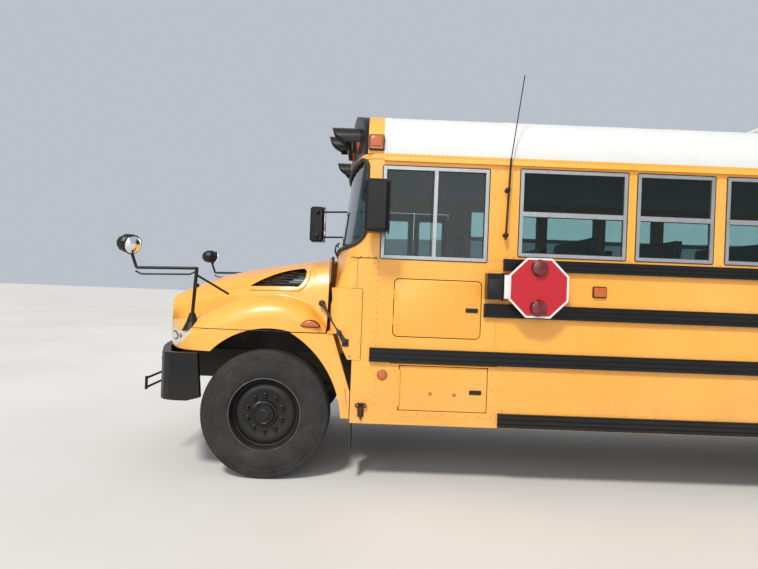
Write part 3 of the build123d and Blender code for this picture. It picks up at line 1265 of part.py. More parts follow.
def seats():
    """Every bench with the driver's seat, as lists of bottoms, backs and legs."""
    rows = [seat(DRIVER_SEAT_X, *DRIVER_SEAT_Y)]
    for n in range(SEAT_ROWS):
        front = SEAT_FRONT_X - SEAT_PITCH * n
        bench = seat(front, AISLE_HALF, BODY_HALF - WALL - SEAT_WALL_GAP)
        rows.append(bench)
        rows.append([mirrored(piece) for piece in bench])
    return zip(*rows)


def dashboard():
    dash = poly((-560, 1640), (-560, 1780), (-640, 1788), (-820, 1760), (-850, 1640), (-820, 1560), (-700, 1500))
    plan = front_plan(SHIELD_NOSE, SHIELD_BOW, SHIELD_CORNER_R, SHIELD_SKIN + SEAT_GAP)
    desk = along_y(dash, -OUTSIDE, OUTSIDE) & along_z(plan, 1400, 1900)
    x, y, z = STEER_WHEEL
    post = rod((x + 340, y, FLOOR_TOP - 40), (x, y, z), 40)
    post -= block(x - 70, x + 530, y - 90, y + 90, FLOOR_TOP - 200, FLOOR_TOP + SEAT_GAP)
    place = Pos(x, y, z) * Rot(0, -25, 0)
    wheel = place * (Cylinder(STEER_WHEEL_R, 26) - Cylinder(STEER_WHEEL_R - 32, 28))
    spoke = place * Box(30, 2 * STEER_WHEEL_R - 32, 14)
    return desk + post + wheel + spoke


def antennas():
    left = BODY_HALF + 50
    whip = rod((-1835, left, 1960), (-1855, left, 2590), 8) + rod((-1855, left, 2580), (-1936, left, 3235), 4)
    for z in (1998, 2346):
        whip += rod((-1838, BODY_HALF + SEAT_GAP, z), (-1838, left, z), 8)
    return whip


put("chassis_frame", chassis_frame())
put("engine_block", engine_block())
put("radiator", radiator())
put("front_axle", front_axle())
put("rear_axle", rear_axle())
put("driveline", driveline())
put("fuel_tank", fuel_tank())
put("exhaust", exhaust())
for name, side in (("left", 1), ("right", -1)):
    put(f"knuckle_{name}", knuckle(side))
    put(f"front_wheel_{name}", front_wheel(side))
    put(f"front_tyre_{name}", tyre(0, side * FRONT_WHEEL_Y))
    put(f"rear_wheels_{name}", rear_wheels(side))
    put(f"rear_tyres_{name}", *[tyre(-WHEELBASE, side * (REAR_OUTER_Y - k * DUAL_SPACING)) for k in (0, 1)])
put("wall_left", side_wall(1))
put("side_boxes", *compartments())
put("wall_right", side_wall(-1))
put("rub_rails", *rub_rails(1), *rub_rails(-1))
put("window_sashes", *window_sashes(1), *window_sashes(-1))
put("side_glass", *side_glass(1), *side_glass(-1), *rear_glass())
put("side_mirrors", side_mirror(1), side_mirror(-1))
put("floor", floor_slab())
put("step_well", step_well())
put("wheelhouses", *wheelhouses())
put("roof", roof())
put("hatch_lid_front", hatch_lid(HATCH_X[0]))
put("hatch_lid_rear", hatch_lid(HATCH_X[1]))
put("rear_wall", rear_wall())
put("rear_door", rear_door())
pane_half, pane_low, pane_high = REAR_DOOR_PANE
put("rear_door_glass", pane_x(-pane_half, pane_half, pane_low, pane_high, 40, BODY_REAR + 14))
put("cowl", cowl() + both(fender_foot()) + windshield_frame())
put("windshield", windshield())
put("front_cap", front_cap())
put("lamps", *lamps())
put("front_bumper", front_bumper())
put("rear_bumper", rear_bumper())
put("mud_flaps", *mud_flaps())
put("battery_door", flap(BATTERY_DOOR, 1))
put("panel_door", flap(PANEL_DOOR, 1))
put("fuel_door", flap(FUEL_DOOR, -1))
put("entry_leaf_front", entry_leaf(True))
put("entry_leaf_rear", entry_leaf(False))
put("entry_glass_front", *entry_panes(True))
put("entry_glass_rear", *entry_panes(False))
put("stop_arm", stop_arm())
put("crossing_arm", crossing_arm())
put("arm_motors", stop_motor(), crossing_motor())
put("hood_and_fenders", hood())
put("headlamps", *both(headlamp()))
put("grille", grille(), *vent_louvres())
put("crossover_mirrors", *both(crossover_mirror()))
bottoms, backs, legs = seats()
put("seat_bottoms", *bottoms)
put("seat_backs", *backs)
put("seat_legs", *legs)
put("dashboard", dashboard())
put("antenna", antennas())
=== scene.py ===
import json
import math

import bmesh
import bpy
from mathutils import Matrix, Vector
from mathutils.bvhtree import BVHTree
from mathutils.kdtree import KDTree


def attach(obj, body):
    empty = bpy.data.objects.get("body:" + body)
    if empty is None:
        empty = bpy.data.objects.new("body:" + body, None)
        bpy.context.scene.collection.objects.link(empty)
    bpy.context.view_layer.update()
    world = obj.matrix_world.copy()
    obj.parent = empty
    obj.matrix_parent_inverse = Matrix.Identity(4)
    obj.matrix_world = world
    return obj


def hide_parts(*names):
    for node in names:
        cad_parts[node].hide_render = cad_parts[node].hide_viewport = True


# A conventional school bus. Sizes are in metres; stations along X are counted from the front axle.

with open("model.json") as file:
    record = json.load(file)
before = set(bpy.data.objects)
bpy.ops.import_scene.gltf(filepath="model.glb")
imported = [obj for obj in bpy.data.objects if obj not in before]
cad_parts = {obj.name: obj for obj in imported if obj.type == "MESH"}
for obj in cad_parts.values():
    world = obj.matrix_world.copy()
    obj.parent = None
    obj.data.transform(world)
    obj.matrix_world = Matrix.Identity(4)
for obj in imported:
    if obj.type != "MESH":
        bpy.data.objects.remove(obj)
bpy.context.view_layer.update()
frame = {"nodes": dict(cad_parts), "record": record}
MID = 4.317                     # front axle station in the frame
BODY_Y = 1.219                  # half width of the body
WHEELBASE = 6.45
REAR_X = -9.72                  # station of the rear wall's face
SIDES = ((1, "left"), (-1, "right"))

# The camera, matched to the photograph: turn in degrees, place in the frame, lens in millimetres
YAW, PITCH, ROLL = -0.496, -0.082, -2.199
CAMERA_AT, CAMERA_LENS = (3.4843, 5.659, 1.5844), 27.02


def camera():
    yaw, pitch, roll = (math.radians(a) for a in (YAW, PITCH, ROLL))
    forward = Vector((math.sin(yaw) * math.cos(pitch), -math.cos(yaw) * math.cos(pitch), math.sin(pitch)))
    level = Vector((-math.cos(yaw), -math.sin(yaw), 0.0))
    down = forward.cross(level)
    right = level * math.cos(roll) + down * math.sin(roll)
    down = down * math.cos(roll) - level * math.sin(roll)
    cam = bpy.data.objects.new("camera", bpy.data.cameras.new("camera"))
    cam.data.lens = CAMERA_LENS
    cam.data.clip_end = 200
    cam.matrix_world = Matrix.Translation(CAMERA_AT) @ Matrix((right, -down, -forward)).transposed().to_4x4()
    bpy.context.collection.objects.link(cam)
    bpy.context.scene.camera = cam


def area_lamp(name, at, to, size, power):
    lamp = bpy.data.lights.new(name, "AREA")
    lamp.shape, lamp.size, lamp.size_y = "RECTANGLE", size[0], size[1]
    lamp.energy = power
    ob = bpy.data.objects.new(name, lamp)
    turn = (Vector(to) - Vector(at)).to_track_quat("-Z", "Y").to_matrix().to_4x4()
    ob.matrix_world = Matrix.Translation(at) @ turn
    bpy.context.collection.objects.link(ob)


def studio():
    world = bpy.data.worlds.new("studio")
    world.use_nodes = True
    sky = world.node_tree.nodes["Background"].inputs
    sky["Color"].default_value = (0.80, 0.86, 0.95, 1)
    sky["Strength"].default_value = 0.62
    bpy.context.scene.world = world
    bpy.context.scene.view_settings.view_transform = "Standard"
    sun = bpy.data.lights.new("key", "SUN")
    sun.energy, sun.angle, sun.color = 2.75, math.radians(9), (1.0, 0.95, 0.87)
    ob = bpy.data.objects.new("key", sun)
    ob.rotation_euler = Vector((-0.34, -0.72, -1.0)).to_track_quat("-Z", "Y").to_euler()
    bpy.context.collection.objects.link(ob)
    area_lamp("fill", (6.0, 12.0, 5.0), (1.0, 0.0, 1.4), (14, 6), 420)
    area_lamp("back", (-3.0, -12.0, 6.0), (0.0, 0.0, 1.4), (14, 6), 380)
    reach, low = 60.0, -0.002
    me = bpy.data.meshes.new("floor")
    corners = ((-1, -1), (1, -1), (1, 1), (-1, 1))
    me.from_pydata([(x * reach, y * reach, low) for x, y in corners], [], [(0, 1, 2, 3)])
    me.materials.append(M["floor_pale"])
    floor = bpy.data.objects.new("floor", me)
    bpy.context.collection.objects.link(floor)


# Materials, each kept in M under its own name
M = {}


class Shader:
    """A principled material put together from a few named steps."""

    def __init__(self, name):
        M[name] = self.mat = bpy.data.materials.new(name)
        self.mat.use_nodes = True
        self.tree = self.mat.node_tree
        self.bsdf = self.tree.nodes["Principled BSDF"]
        self.at = self.tree.nodes.new("ShaderNodeTexCoord").outputs["Object"]

    def link(self, value, socket):
        if isinstance(value, (int, float)):
            socket.default_value = value
        elif isinstance(value, tuple):
            socket.default_value = (*value, 1.0) if len(value) == 3 and socket.type == "RGBA" else value
        else:
            self.tree.links.new(value, socket)

    def node(self, kind, sockets, **settings):
        """A new node's outputs, after its settings and its sockets by name or number."""
        n = self.tree.nodes.new(kind)
        for key, value in settings.items():
            setattr(n, key, value)
        for key, value in sockets.items():
            self.link(value, n.inputs[key])
        return n.outputs

    def stretch(self, scale):
        return self.node("ShaderNodeMapping", {"Scale": scale, "Vector": self.at})[0]

    def noise(self, scale, detail=4.0, rough=0.55, at=None):
        sockets = {"Vector": at or self.at, "Scale": scale, "Detail": detail, "Roughness": rough}
        return self.node("ShaderNodeTexNoise", sockets)["Fac"]

    def cells(self, scale):
        return self.node("ShaderNodeTexVoronoi", {"Vector": self.at, "Scale": scale})["Distance"]

    def ribs(self, scale, direction, **more):
        sockets = {"Vector": self.at, "Scale": scale, **more}
        return self.node("ShaderNodeTexWave", sockets, bands_direction=direction)["Fac"]

    def band(self, value, low, high, a=0.0, b=1.0):
        return self.node("ShaderNodeMapRange", dict(enumerate((value, low, high, a, b))), clamp=True)[0]

    def cloud(self, low, high, *noise, a=0.0, b=1.0):
        """Noise whose middle range is spread from a to b."""
        return self.band(self.noise(*noise), low, high, a, b)

    def axis(self, name):
        return self.node("ShaderNodeSeparateXYZ", {0: self.at})[name]

    def math(self, op, a, b):
        return self.node("ShaderNodeMath", {0: a, 1: b}, operation=op)[0]

    def times(self, a, b):
        return self.math("MULTIPLY", a, b)

    def mix(self, fac, a, b):
        return self.node("ShaderNodeMix", {0: fac, 6: a, 7: b}, data_type="RGBA")[2]

    def bump(self, height, strength, distance, over=None):
        sockets = {"Strength": strength, "Distance": distance, "Height": height}
        if over is not None:
            sockets["Normal"] = over
        return self.node("ShaderNodeBump", sockets)[0]

    def done(self, colour, rough, normal=None, **fixed):
        for value, socket in ((colour, "Base Color"), (rough, "Roughness"), (normal, "Normal")):
            if value is not None:
                self.link(value, self.bsdf.inputs[socket])
        for key, value in fixed.items():
            self.bsdf.inputs[key.replace("_", " ")].default_value = value
        self.mat.diffuse_color = (0.5, 0.5, 0.5, 1.0)


def paint(name, base, faded, dirt=(0.30, 0.23, 0.15), rough=0.34, coat=0.25, grime=0.5, chips=0.5,
          low=(0.45, 1.15), split=None, shine=0.5):
    """Weathered vehicle paint: fading, streaks, low dust, chips and a slightly wavy skin.

    split gives a station and a height, ahead of or below which the paint has two other colours.
    """
    s = Shader(name)
    fading = s.times(s.cloud(0.35, 0.68, 0.9, 5, 0.6), 0.6)
    tone = s.mix(fading, base, faded)
    if split:
        ahead = s.math("GREATER_THAN", s.axis("X"), split[0])
        below = s.math("LESS_THAN", s.axis("Z"), split[1])
        tone = s.mix(s.math("MAXIMUM", ahead, below), tone, s.mix(fading, *split[2:]))
    streak = s.cloud(0.52, 0.80, 1.0, 6, 0.65, s.stretch((9, 9, 0.7)))
    tone = s.mix(s.times(streak, 0.34 * grime), tone, tuple(c * 0.62 for c in base))
    speck = s.cloud(0.66, 0.74, 140, 2, 0.5)
    tone = s.mix(s.times(speck, 0.35 * grime), tone, dirt)
    dust = s.times(s.band(s.axis("Z"), low[1], low[0]), s.cloud(0.30, 0.75, 2.6, 6, 0.62))
    tone = s.mix(s.times(dust, 0.75 * grime), tone, dirt)
    edge = 0.735 - 0.02 * chips
    chip = s.times(s.cloud(edge, edge + 0.015, 34, 8, 0.72), s.cloud(0.5, 0.7, 1.7, 3))
    tone = s.mix(s.times(chip, chips), tone, (0.16, 0.055, 0.02))
    gloss = s.math("ADD", s.cloud(0.3, 0.75, 3.0, 6, 0.6, a=rough - 0.07, b=rough + 0.14), s.times(dust, 0.25))
    skin = s.bump(s.noise(5.5, 2, 0.4), 0.35, 0.0022)
    skin = s.bump(s.noise(420, 2), 0.06, 0.0006, skin)
    skin = s.bump(chip, 0.4, 0.0004, skin)
    s.done(tone, gloss, skin, Coat_Weight=coat, Coat_Roughness=0.16, Specular_IOR_Level=shine)


def metal(name, base, dark, rough, metallic, scratch, dust, dusty=(0.30, 0.25, 0.19)):
    s = Shader(name)
    grain = s.noise(1.0, 4, 0.6, s.stretch(scratch))
    tone = s.mix(s.band(grain, 0.3, 0.7), dark, base)
    tone = s.mix(s.times(s.cloud(0.5, 0.8, 7, 6, 0.65), dust), tone, dusty)
    gloss = s.cloud(0.3, 0.7, 22, 5, a=rough - 0.08, b=rough + 0.16)
    s.done(tone, gloss, s.bump(grain, 0.12, 0.0006), Metallic=metallic)


def rubber(name, base, dusty, rough, grain, dust):
    s = Shader(name)
    tone = s.mix(s.times(s.cloud(0.35, 0.75, 6, 7, 0.65), dust), base, dusty)
    gloss = s.cloud(0.3, 0.7, 30, 4, a=rough - 0.08, b=rough + 0.12)
    s.done(tone, gloss, s.bump(s.noise(grain, 2), 0.25, 0.0005), Specular_IOR_Level=0.35)


def lens(name, base, deep, rough=0.12, flutes=140.0):
    """A moulded lamp lens with fine fluting under a clear face."""
    s = Shader(name)
    flute = s.ribs(flutes, "Z", Distortion=0.3)
    tone = s.mix(s.band(flute, 0.2, 0.9), deep, base)
    tone = s.mix(s.times(s.cloud(0.5, 0.8, 18, 5), 0.3), tone, (0.32, 0.25, 0.18))
    gloss = s.cloud(0.3, 0.7, 40, 4, a=rough - 0.05, b=rough + 0.14)
    s.done(tone, gloss, s.bump(flute, 0.35, 0.0008), Coat_Weight=0.6, Coat_Roughness=0.08,
           Subsurface_Weight=0.15, Subsurface_Scale=0.01)


def glass(name, tint, film=0.10):
    s = Shader(name)
    smear = s.cloud(0.50, 0.82, 1.6, 6, 0.68, s.stretch((1, 1, 0.45)))
    gloss = s.math("ADD", s.times(smear, film), s.times(s.cloud(0.60, 0.78, 260, 3), 0.05))
    tone = s.mix(s.times(smear, 0.25), tint, tuple(c * 0.86 for c in tint))
    s.done(tone, gloss, Transmission_Weight=1.0, IOR=1.36, Specular_IOR_Level=0.4)


def moulded(name, base, worn, rough=0.5, grain=900, dust=0.3):
    s = Shader(name)
    tone = s.mix(s.times(s.cloud(0.4, 0.75, 5, 6, 0.6), dust), base, worn)
    gloss = s.cloud(0.3, 0.7, 16, 5, a=rough - 0.08, b=rough + 0.12)
    s.done(tone, gloss, s.bump(s.cells(grain), 0.18, 0.0004), Specular_IOR_Level=0.3)


def vinyl(name, base, worn):
    """Seat cover: fine leather-like grain with paler, smoother worn patches."""
    s = Shader(name)
    wear = s.cloud(0.48, 0.78, 3.2, 5, 0.6)
    tone = s.mix(s.times(wear, 0.6), base, worn)
    skin = s.bump(s.cells(420), 0.35, 0.0006)
    skin = s.bump(s.noise(28, 4, 0.6), 0.25, 0.002, skin)
    s.done(tone, s.band(wear, 0, 1, 0.52, 0.38), skin, Sheen_Weight=0.08)


def ribbed_mat(name):
    """Ribbed rubber floor covering."""
    s = Shader(name)
    soil = s.cloud(0.42, 0.8, 4, 7, 0.66)
    tone = s.mix(s.times(soil, 0.6), (0.05, 0.05, 0.052), (0.19, 0.16, 0.12))
    s.done(tone, s.band(soil, 0, 1, 0.62, 0.9), s.bump(s.ribs(26.0, "Y"), 0.5, 0.002))


def studio_floor(name):
    s = Shader(name)
    tone = s.mix(s.cloud(0.3, 0.7, 0.35, 5), (0.60, 0.585, 0.56), (0.66, 0.65, 0.63))
    s.done(tone, 0.85, s.bump(s.noise(90, 3), 0.15, 0.002))


YELLOW, FADED = (0.86, 0.375, 0.042), (0.90, 0.46, 0.105)
ROOF = ((0.66, 0.67, 0.65), (0.72, 0.72, 0.70), (0.42, 0.38, 0.32), 0.5, 0.1, 0.5, 0.3, (2.3, 2.7))
CAP_REAR, CAP_FOOT = -0.872, 2.604      # the front cap's yellow reaches back and down to here
studio_floor("floor_pale")
paint("roof_paint", *ROOF, split=(MID + CAP_REAR, CAP_FOOT, YELLOW, FADED))
paint("white_paint", *ROOF)
paint("yellow_paint", YELLOW, FADED)
# A darker copy of the yellow paint, with more grime and chips, for rivet heads. The lines along the hood's
# creases use it as painted shade.
paint("rivet_and_crease_shade_yellow", (0.62, 0.25, 0.03), (0.74, 0.34, 0.07), grime=0.9, chips=0.9)
paint("black_paint", (0.004, 0.004, 0.005), (0.010, 0.0098, 0.0095), (0.10, 0.085, 0.065),
      0.34, 0.10, 0.16, 0.2, shine=0.28)
paint("red_paint", (0.46, 0.010, 0.020), (0.50, 0.022, 0.034), (0.30, 0.12, 0.11),
      0.36, 0.15, 0.15, 0.1, (0.2, 0.5), shine=0.35)
paint("white_band", (0.70, 0.70, 0.69), (0.76, 0.76, 0.74), (0.5, 0.45, 0.4), 0.35, 0.2, 0.3, 0.1, (0.2, 0.5))
paint("frame_paint", (0.022, 0.021, 0.020), (0.05, 0.046, 0.04), (0.17, 0.13, 0.09),
      0.55, 0.0, 1.0, 0.8, (0.3, 1.4))
paint("wheel_paint", (0.005, 0.005, 0.006), (0.012, 0.012, 0.0115), (0.10, 0.08, 0.06),
      0.36, 0.1, 0.45, 0.4, (0.1, 0.9), shine=0.32)
paint("seat_steel", (0.03, 0.03, 0.03), (0.06, 0.06, 0.06), (0.15, 0.13, 0.1), 0.45, 0.1, 0.5, 0.4, (0.9, 1.2))
metal("axle_iron", (0.085, 0.075, 0.065), (0.05, 0.045, 0.04), 0.62, 0.5, (9, 9, 9), 0.7, (0.17, 0.12, 0.08))
metal("engine_iron", (0.11, 0.11, 0.12), (0.07, 0.07, 0.075), 0.58, 0.4, (8, 8, 8), 0.6, (0.14, 0.11, 0.08))
metal("radiator_core", (0.26, 0.26, 0.27), (0.10, 0.10, 0.105), 0.5, 0.8, (1, 260, 1), 0.5)
metal("bare_steel", (0.40, 0.38, 0.35), (0.24, 0.21, 0.18), 0.48, 0.9, (4, 30, 30), 0.55, (0.23, 0.13, 0.07))
metal("sash_aluminium", (0.52, 0.53, 0.54), (0.40, 0.41, 0.42), 0.40, 0.9, (200, 200, 4), 0.3)
metal("mirror_face", (0.82, 0.84, 0.85), (0.78, 0.80, 0.82), 0.10, 1.0, (2, 2, 2), 0.05)
metal("dark_rust", (0.1, 0.045, 0.022), (0.045, 0.022, 0.014), 0.8, 0.3, (30, 30, 30), 0.6, (0.18, 0.08, 0.035))
rubber("tyre_rubber", (0.016, 0.016, 0.016), (0.055, 0.051, 0.045), 0.76, 500, 0.65)
rubber("flap_rubber", (0.02, 0.02, 0.02), (0.10, 0.09, 0.075), 0.7, 380, 0.6)
glass("clear_glass", (0.30, 0.42, 0.42))
ribbed_mat("floor_rubber")
vinyl("seat_vinyl", (0.040, 0.034, 0.030), (0.085, 0.072, 0.062))
moulded("dark_plastic", (0.012, 0.012, 0.013), (0.042, 0.040, 0.038))
moulded("mirror_shell", (0.007, 0.007, 0.008), (0.022, 0.021, 0.02), 0.38, 700, 0.25)
lens("amber_lens", (0.66, 0.16, 0.010), (0.34, 0.055, 0.004))
lens("red_lens", (0.20, 0.004, 0.008), (0.07, 0.001, 0.003))
lens("lamp_lens", (0.66, 0.68, 0.68), (0.42, 0.44, 0.45), 0.10, 90)


# Mesh helpers
def arc_through(start, middle, end, steps):
    """Points along the arc through three points of a plane."""
    (ax, ay), (bx, by), (cx, cy) = start, middle, end
    d = 2 * (ax * (by - cy) + bx * (cy - ay) + cx * (ay - by))
    a2, b2, c2 = ax * ax + ay * ay, bx * bx + by * by, cx * cx + cy * cy
    x = (a2 * (by - cy) + b2 * (cy - ay) + c2 * (ay - by)) / d
    y = (a2 * (cx - bx) + b2 * (ax - cx) + c2 * (bx - ax)) / d
    r = math.hypot(ax - x, ay - y)
    first, half, last = (math.atan2(v - y, u - x) for u, v in (start, middle, end))
    sweep = math.remainder(half - first, 2 * math.pi) + math.remainder(last - half, 2 * math.pi)
    turns = (first + sweep * n / steps for n in range(steps + 1))
    return [(x + r * math.cos(a), y + r * math.sin(a)) for a in turns]


def circle(u, v, ru, rv, count, turn=0.0):
    """Points round an ellipse of a plane; turn is where it starts, as a share of a step."""
    turns = (2 * math.pi * (n + turn) / count for n in range(count))
    return [(u + ru * math.cos(a), v + rv * math.sin(a)) for a in turns]


def round_rect(a0, a1, b0, b1, r, steps=4):
    """A rectangle's outline with round corners, counted round from the high corner."""
    corners = ((a1 - r, b1 - r, 0), (a0 + r, b1 - r, 1), (a0 + r, b0 + r, 2), (a1 - r, b0 + r, 3))
    turns = [(a, b, (q + n / steps) * math.pi / 2) for a, b, q in corners for n in range(steps + 1)]
    return [(a + r * math.cos(t), b + r * math.sin(t)) for a, b, t in turns]


def sideways(along):
    """A direction across another one."""
    guide = Vector((0, 0, 1)) if abs(along.z) < 0.9 else Vector((1, 0, 0))
    return along.cross(guide).normalized()


def frames(points, closed=False):
    """Two cross directions at each point of a path, carried along it without twisting."""
    count = len(points)
    result, side = [], None
    for n in range(count):
        if closed:
            ahead, behind = points[(n + 1) % count], points[n - 1]
        else:
            ahead, behind = points[min(n + 1, count - 1)], points[max(n - 1, 0)]
        along = (ahead - behind).normalized()
        side = sideways(along) if side is None else side
        side = (side - along * side.dot(along)).normalized()
        result.append((side, side.cross(along)))
    return result


def hoop(middle, u, v, r, sides, turn):
    """A circle of points in the plane of two cross directions."""
    return [middle + u * a + v * b for a, b in circle(0, 0, r, r, sides, turn)]


class Maker:
    """One mesh piece, put together from formed parts in axle-frame metres."""

    def __init__(self):
        self.bm = bmesh.new()

    def rows(self, rows, closed_path=False):
        """Join rings of points, each with as many points as the next, and cap an open path."""
        made = [[self.bm.verts.new(p) for p in row] for row in rows]
        for low, high in list(zip(made, made[1:])) + ([(made[-1], made[0])] if closed_path else []):
            for n in range(len(low)):
                m = (n + 1) % len(low)
                self.bm.faces.new((low[n], low[m], high[m], high[n]))
        if not closed_path:
            self.bm.faces.new(made[0][::-1])
            self.bm.faces.new(made[-1])
        return self

    def body(self, low, high, bevel, steps):
        """A solid between two outlines, with its sharp edges bevelled."""
        before = set(self.bm.faces)
        self.rows([low, high])
        faces = [f for f in self.bm.faces if f not in before]
        bmesh.ops.recalc_face_normals(self.bm, faces=faces)
        if bevel:
            edges = {e for f in faces for e in f.edges}
            sharp = [e for e in edges if e.is_manifold and e.calc_face_angle(0) > 0.5]
            bmesh.ops.bevel(self.bm, geom=sharp, offset=bevel, segments=steps, affect="EDGES", profile=0.5,
                            clamp_overlap=True)
        return self

    def block(self, x0, x1, y0, y1, z0, z1, bevel=0.0, steps=2):
        return self.prism(((x0, y0), (x1, y0), (x1, y1), (x0, y1)), "Z", z0, z1, bevel, steps)

    def prism(self, outline, axis, a, b, bevel=0.0, steps=2):
        """An outline in the plane across an axis, from a to b along it."""
        at = "XYZ".index(axis)
        low, high = ([(*p[:at], w, *p[at:]) for p in outline] for w in (a, b))
        return self.body(low, high, bevel, steps)

    def tube(self, points, radius, sides=10, closed=False):
        """A round bar along a path; radius is one number or one for each point."""
        points = [Vector(p) for p in points]
        radii = radius if isinstance(radius, tuple) else (radius,) * len(points)
        return self.rows([hoop(p, u, v, r, sides, 0.0)
                          for p, (u, v), r in zip(points, frames(points, closed), radii)], closed)

    def loop(self, points, radius, sides=8):
        return self.tube(points, radius, sides, closed=True)

    def lathe(self, at, along, profile, sides=48, closed=False):
        """Turn rows of (distance along the axis, radius) round an axis."""
        at, along = Vector(at), Vector(along).normalized()
        u = sideways(along)
        v = along.cross(u)
        return self.rows([hoop(at + along * d, u, v, r, sides, 0.5) for d, r in profile], closed)

    def dome(self, at, along, radius=0.006, height=0.003, sides=8):
        """A rivet or screw head."""
        return self.lathe(at, along, ((-0.001, radius), (height * 0.35, radius * 0.96),
                                      (height * 0.8, radius * 0.6), (height, radius * 0.2)), sides)

    def hexagon(self, at, along, across, height):
        r = across / 2
        return self.lathe(at, along, ((-0.001, r), (height * 0.85, r), (height, across * 0.42)), 6)

    def rivets(self, start, end, pitch, along, radius=0.0062, height=0.0036):
        """Rivet heads in a straight row, as near the pitch as fits."""
        start, end = Vector(start), Vector(end)
        count = max(1, round((end - start).length / pitch))
        for n in range(count + 1):
            self.dome(start.lerp(end, n / count), along, radius, height)
        return self

    def mirror(self):
        """Add the same on the other side of the bus."""
        twin = bmesh.ops.duplicate(self.bm, geom=[*self.bm.verts, *self.bm.edges, *self.bm.faces])
        for v in (g for g in twin["geom"] if isinstance(g, bmesh.types.BMVert)):
            v.co.y = -v.co.y
        bmesh.ops.reverse_faces(self.bm, faces=[g for g in twin["geom"] if isinstance(g, bmesh.types.BMFace)])
        return self

    def done(self, name, slot, body="bus", material=None, replaces=(), smooth=32.0):
        """Finish the piece: its mesh in the frame, its material and its body."""
        bmesh.ops.recalc_face_normals(self.bm, faces=self.bm.faces)
        for v in self.bm.verts:
            v.co.x += MID
        me = bpy.data.meshes.new(name)
        self.bm.to_mesh(me)
        self.bm.free()
        ob = bpy.data.objects.new(name, me)
        bpy.context.collection.objects.link(ob)
        finish(me, material or slot, smooth)
        settle(ob, slot, body, replaces)


def finish(me, material, smooth):
    """Give a mesh its material and smooth faces, with edges sharper than an angle kept."""
    me.polygons.foreach_set("use_smooth", [True] * len(me.polygons))
    me.set_sharp_from_angle(angle=math.radians(smooth))
    me.materials.append(M[material])


def settle(ob, slot, body, replaces=()):
    """Give a finished piece its body, and hide the nodes that it stands for. The slot is not used."""
    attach(ob, body)
    if replaces:
        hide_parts(*replaces)


def baked(ob):
    """Put an object's modifiers into its mesh."""
    bpy.context.view_layer.update()
    old = ob.data
    ob.data = bpy.data.meshes.new_from_object(ob.evaluated_get(bpy.context.evaluated_depsgraph_get()))
    ob.modifiers.clear()
    bpy.data.meshes.remove(old)


def solid(maker, name="tool"):
    """A maker's mesh as a loose object, for cutting."""
    bmesh.ops.recalc_face_normals(maker.bm, faces=maker.bm.faces)
    me = bpy.data.meshes.new(name)
    maker.bm.to_mesh(me)
    maker.bm.free()
    ob = bpy.data.objects.new(name, me)
    bpy.context.collection.objects.link(ob)
    return ob


def combine(ob, other, operation):
    mod = ob.modifiers.new("cut", "BOOLEAN")
    mod.operation, mod.solver, mod.object = operation, "EXACT", other
    baked(ob)
    bpy.data.objects.remove(other)
    return ob


# Wheels and tyres
TYRE_R, AXLE_Z = 0.512, 0.512
FRONT_TYRE_Y, REAR_TYRE_Y, DUAL = 1.030, 1.068, 0.330      # middles of the tyres, and the rear pair's spacing
TREAD = 0.106                   # half width of the tread
SIDEWALL = (
    # distance from the middle of the tyre, radius
    (0.1, 0.2886), (0.112, 0.29), (0.119, 0.2985), (0.1265, 0.316), (0.13, 0.33), (0.1315, 0.333),
    (0.1318, 0.3365), (0.1335, 0.34), (0.1368, 0.362), (0.138, 0.385), (0.1379, 0.403), (0.1392, 0.405),
    (0.1392, 0.4078), (0.1374, 0.41), (0.1352, 0.43), (0.1318, 0.448), (0.1325, 0.45), (0.1312, 0.454),
    (0.129, 0.456), (0.125, 0.472), (0.1215, 0.484), (0.1215, 0.487), (0.117, 0.496), (0.111, 0.506),
    (TREAD, 0.5085),
)
GROOVES = (0.028, 0.074)        # middle of each tread groove from the tyre's middle
GROOVE_W, GROOVE_D = 0.011, 0.013


def tyre_profile():
    w, tread = GROOVE_W / 2, []
    half = [(w + 0.002, TYRE_R), (w, TYRE_R - 0.0015), (w * 0.55, TYRE_R - GROOVE_D)]
    for middle in sorted([g * s for g in GROOVES for s in (1, -1)], reverse=True):
        tread += [(middle + d, r) for d, r in half] + [(middle - d, r) for d, r in reversed(half)]
    return [*SIDEWALL, *tread, *((-y, r) for y, r in reversed(SIDEWALL))]


def make_tyres():
    for side, word in SIDES:
        along = (0, side, 0)
        front = Maker().lathe((0, side * FRONT_TYRE_Y, AXLE_Z), along, tyre_profile(), 112, closed=True)
        front.done(f"tyre_front_{word}", "tyre_rubber", f"front_{word}_wheel", replaces=[f"front_tyre_{word}"])
        rear = Maker()
        for y in (REAR_TYRE_Y, REAR_TYRE_Y - DUAL):
            rear.lathe((-WHEELBASE, side * y, AXLE_Z), along, tyre_profile(), 104, closed=True)
        rear.done(f"tyres_rear_{word}", "tyre_rubber", f"rear_{word}_wheels", replaces=[f"rear_tyres_{word}"])


# Wheel sections: distance outward from the tyre's middle, radius
RIM_EDGE = ((0.1125, 0.2878), (0.1165, 0.285), (0.116, 0.28), (0.111, 0.276), (0.102, 0.2715), (0.09, 0.265))
FRONT_WHEEL = (
    *RIM_EDGE,
    (0.066, 0.2625), (0.0585, 0.259), (0.056, 0.253), (0.06, 0.246), (0.069, 0.234), (0.077, 0.218),
    (0.082, 0.199), (0.0825, 0.188), (0.079, 0.18), (0.078, 0.106), (0.07, 0.104), (0.07, 0.176),
    (0.052, 0.23), (0.034, 0.252), (-0.09, 0.256), (-0.106, 0.27), (-0.112, 0.279), (-0.1125, 0.2878),
)
REAR_WHEEL = (
    *RIM_EDGE,
    (-0.03, 0.26), (-0.06, 0.254), (-0.1, 0.238), (-0.135, 0.216), (-0.148, 0.202), (-0.15, 0.188),
    (-0.15, 0.106), (-0.16, 0.106), (-0.16, 0.205), (-0.133, 0.242), (-0.1125, 0.256), (-0.1125, 0.2878),
)
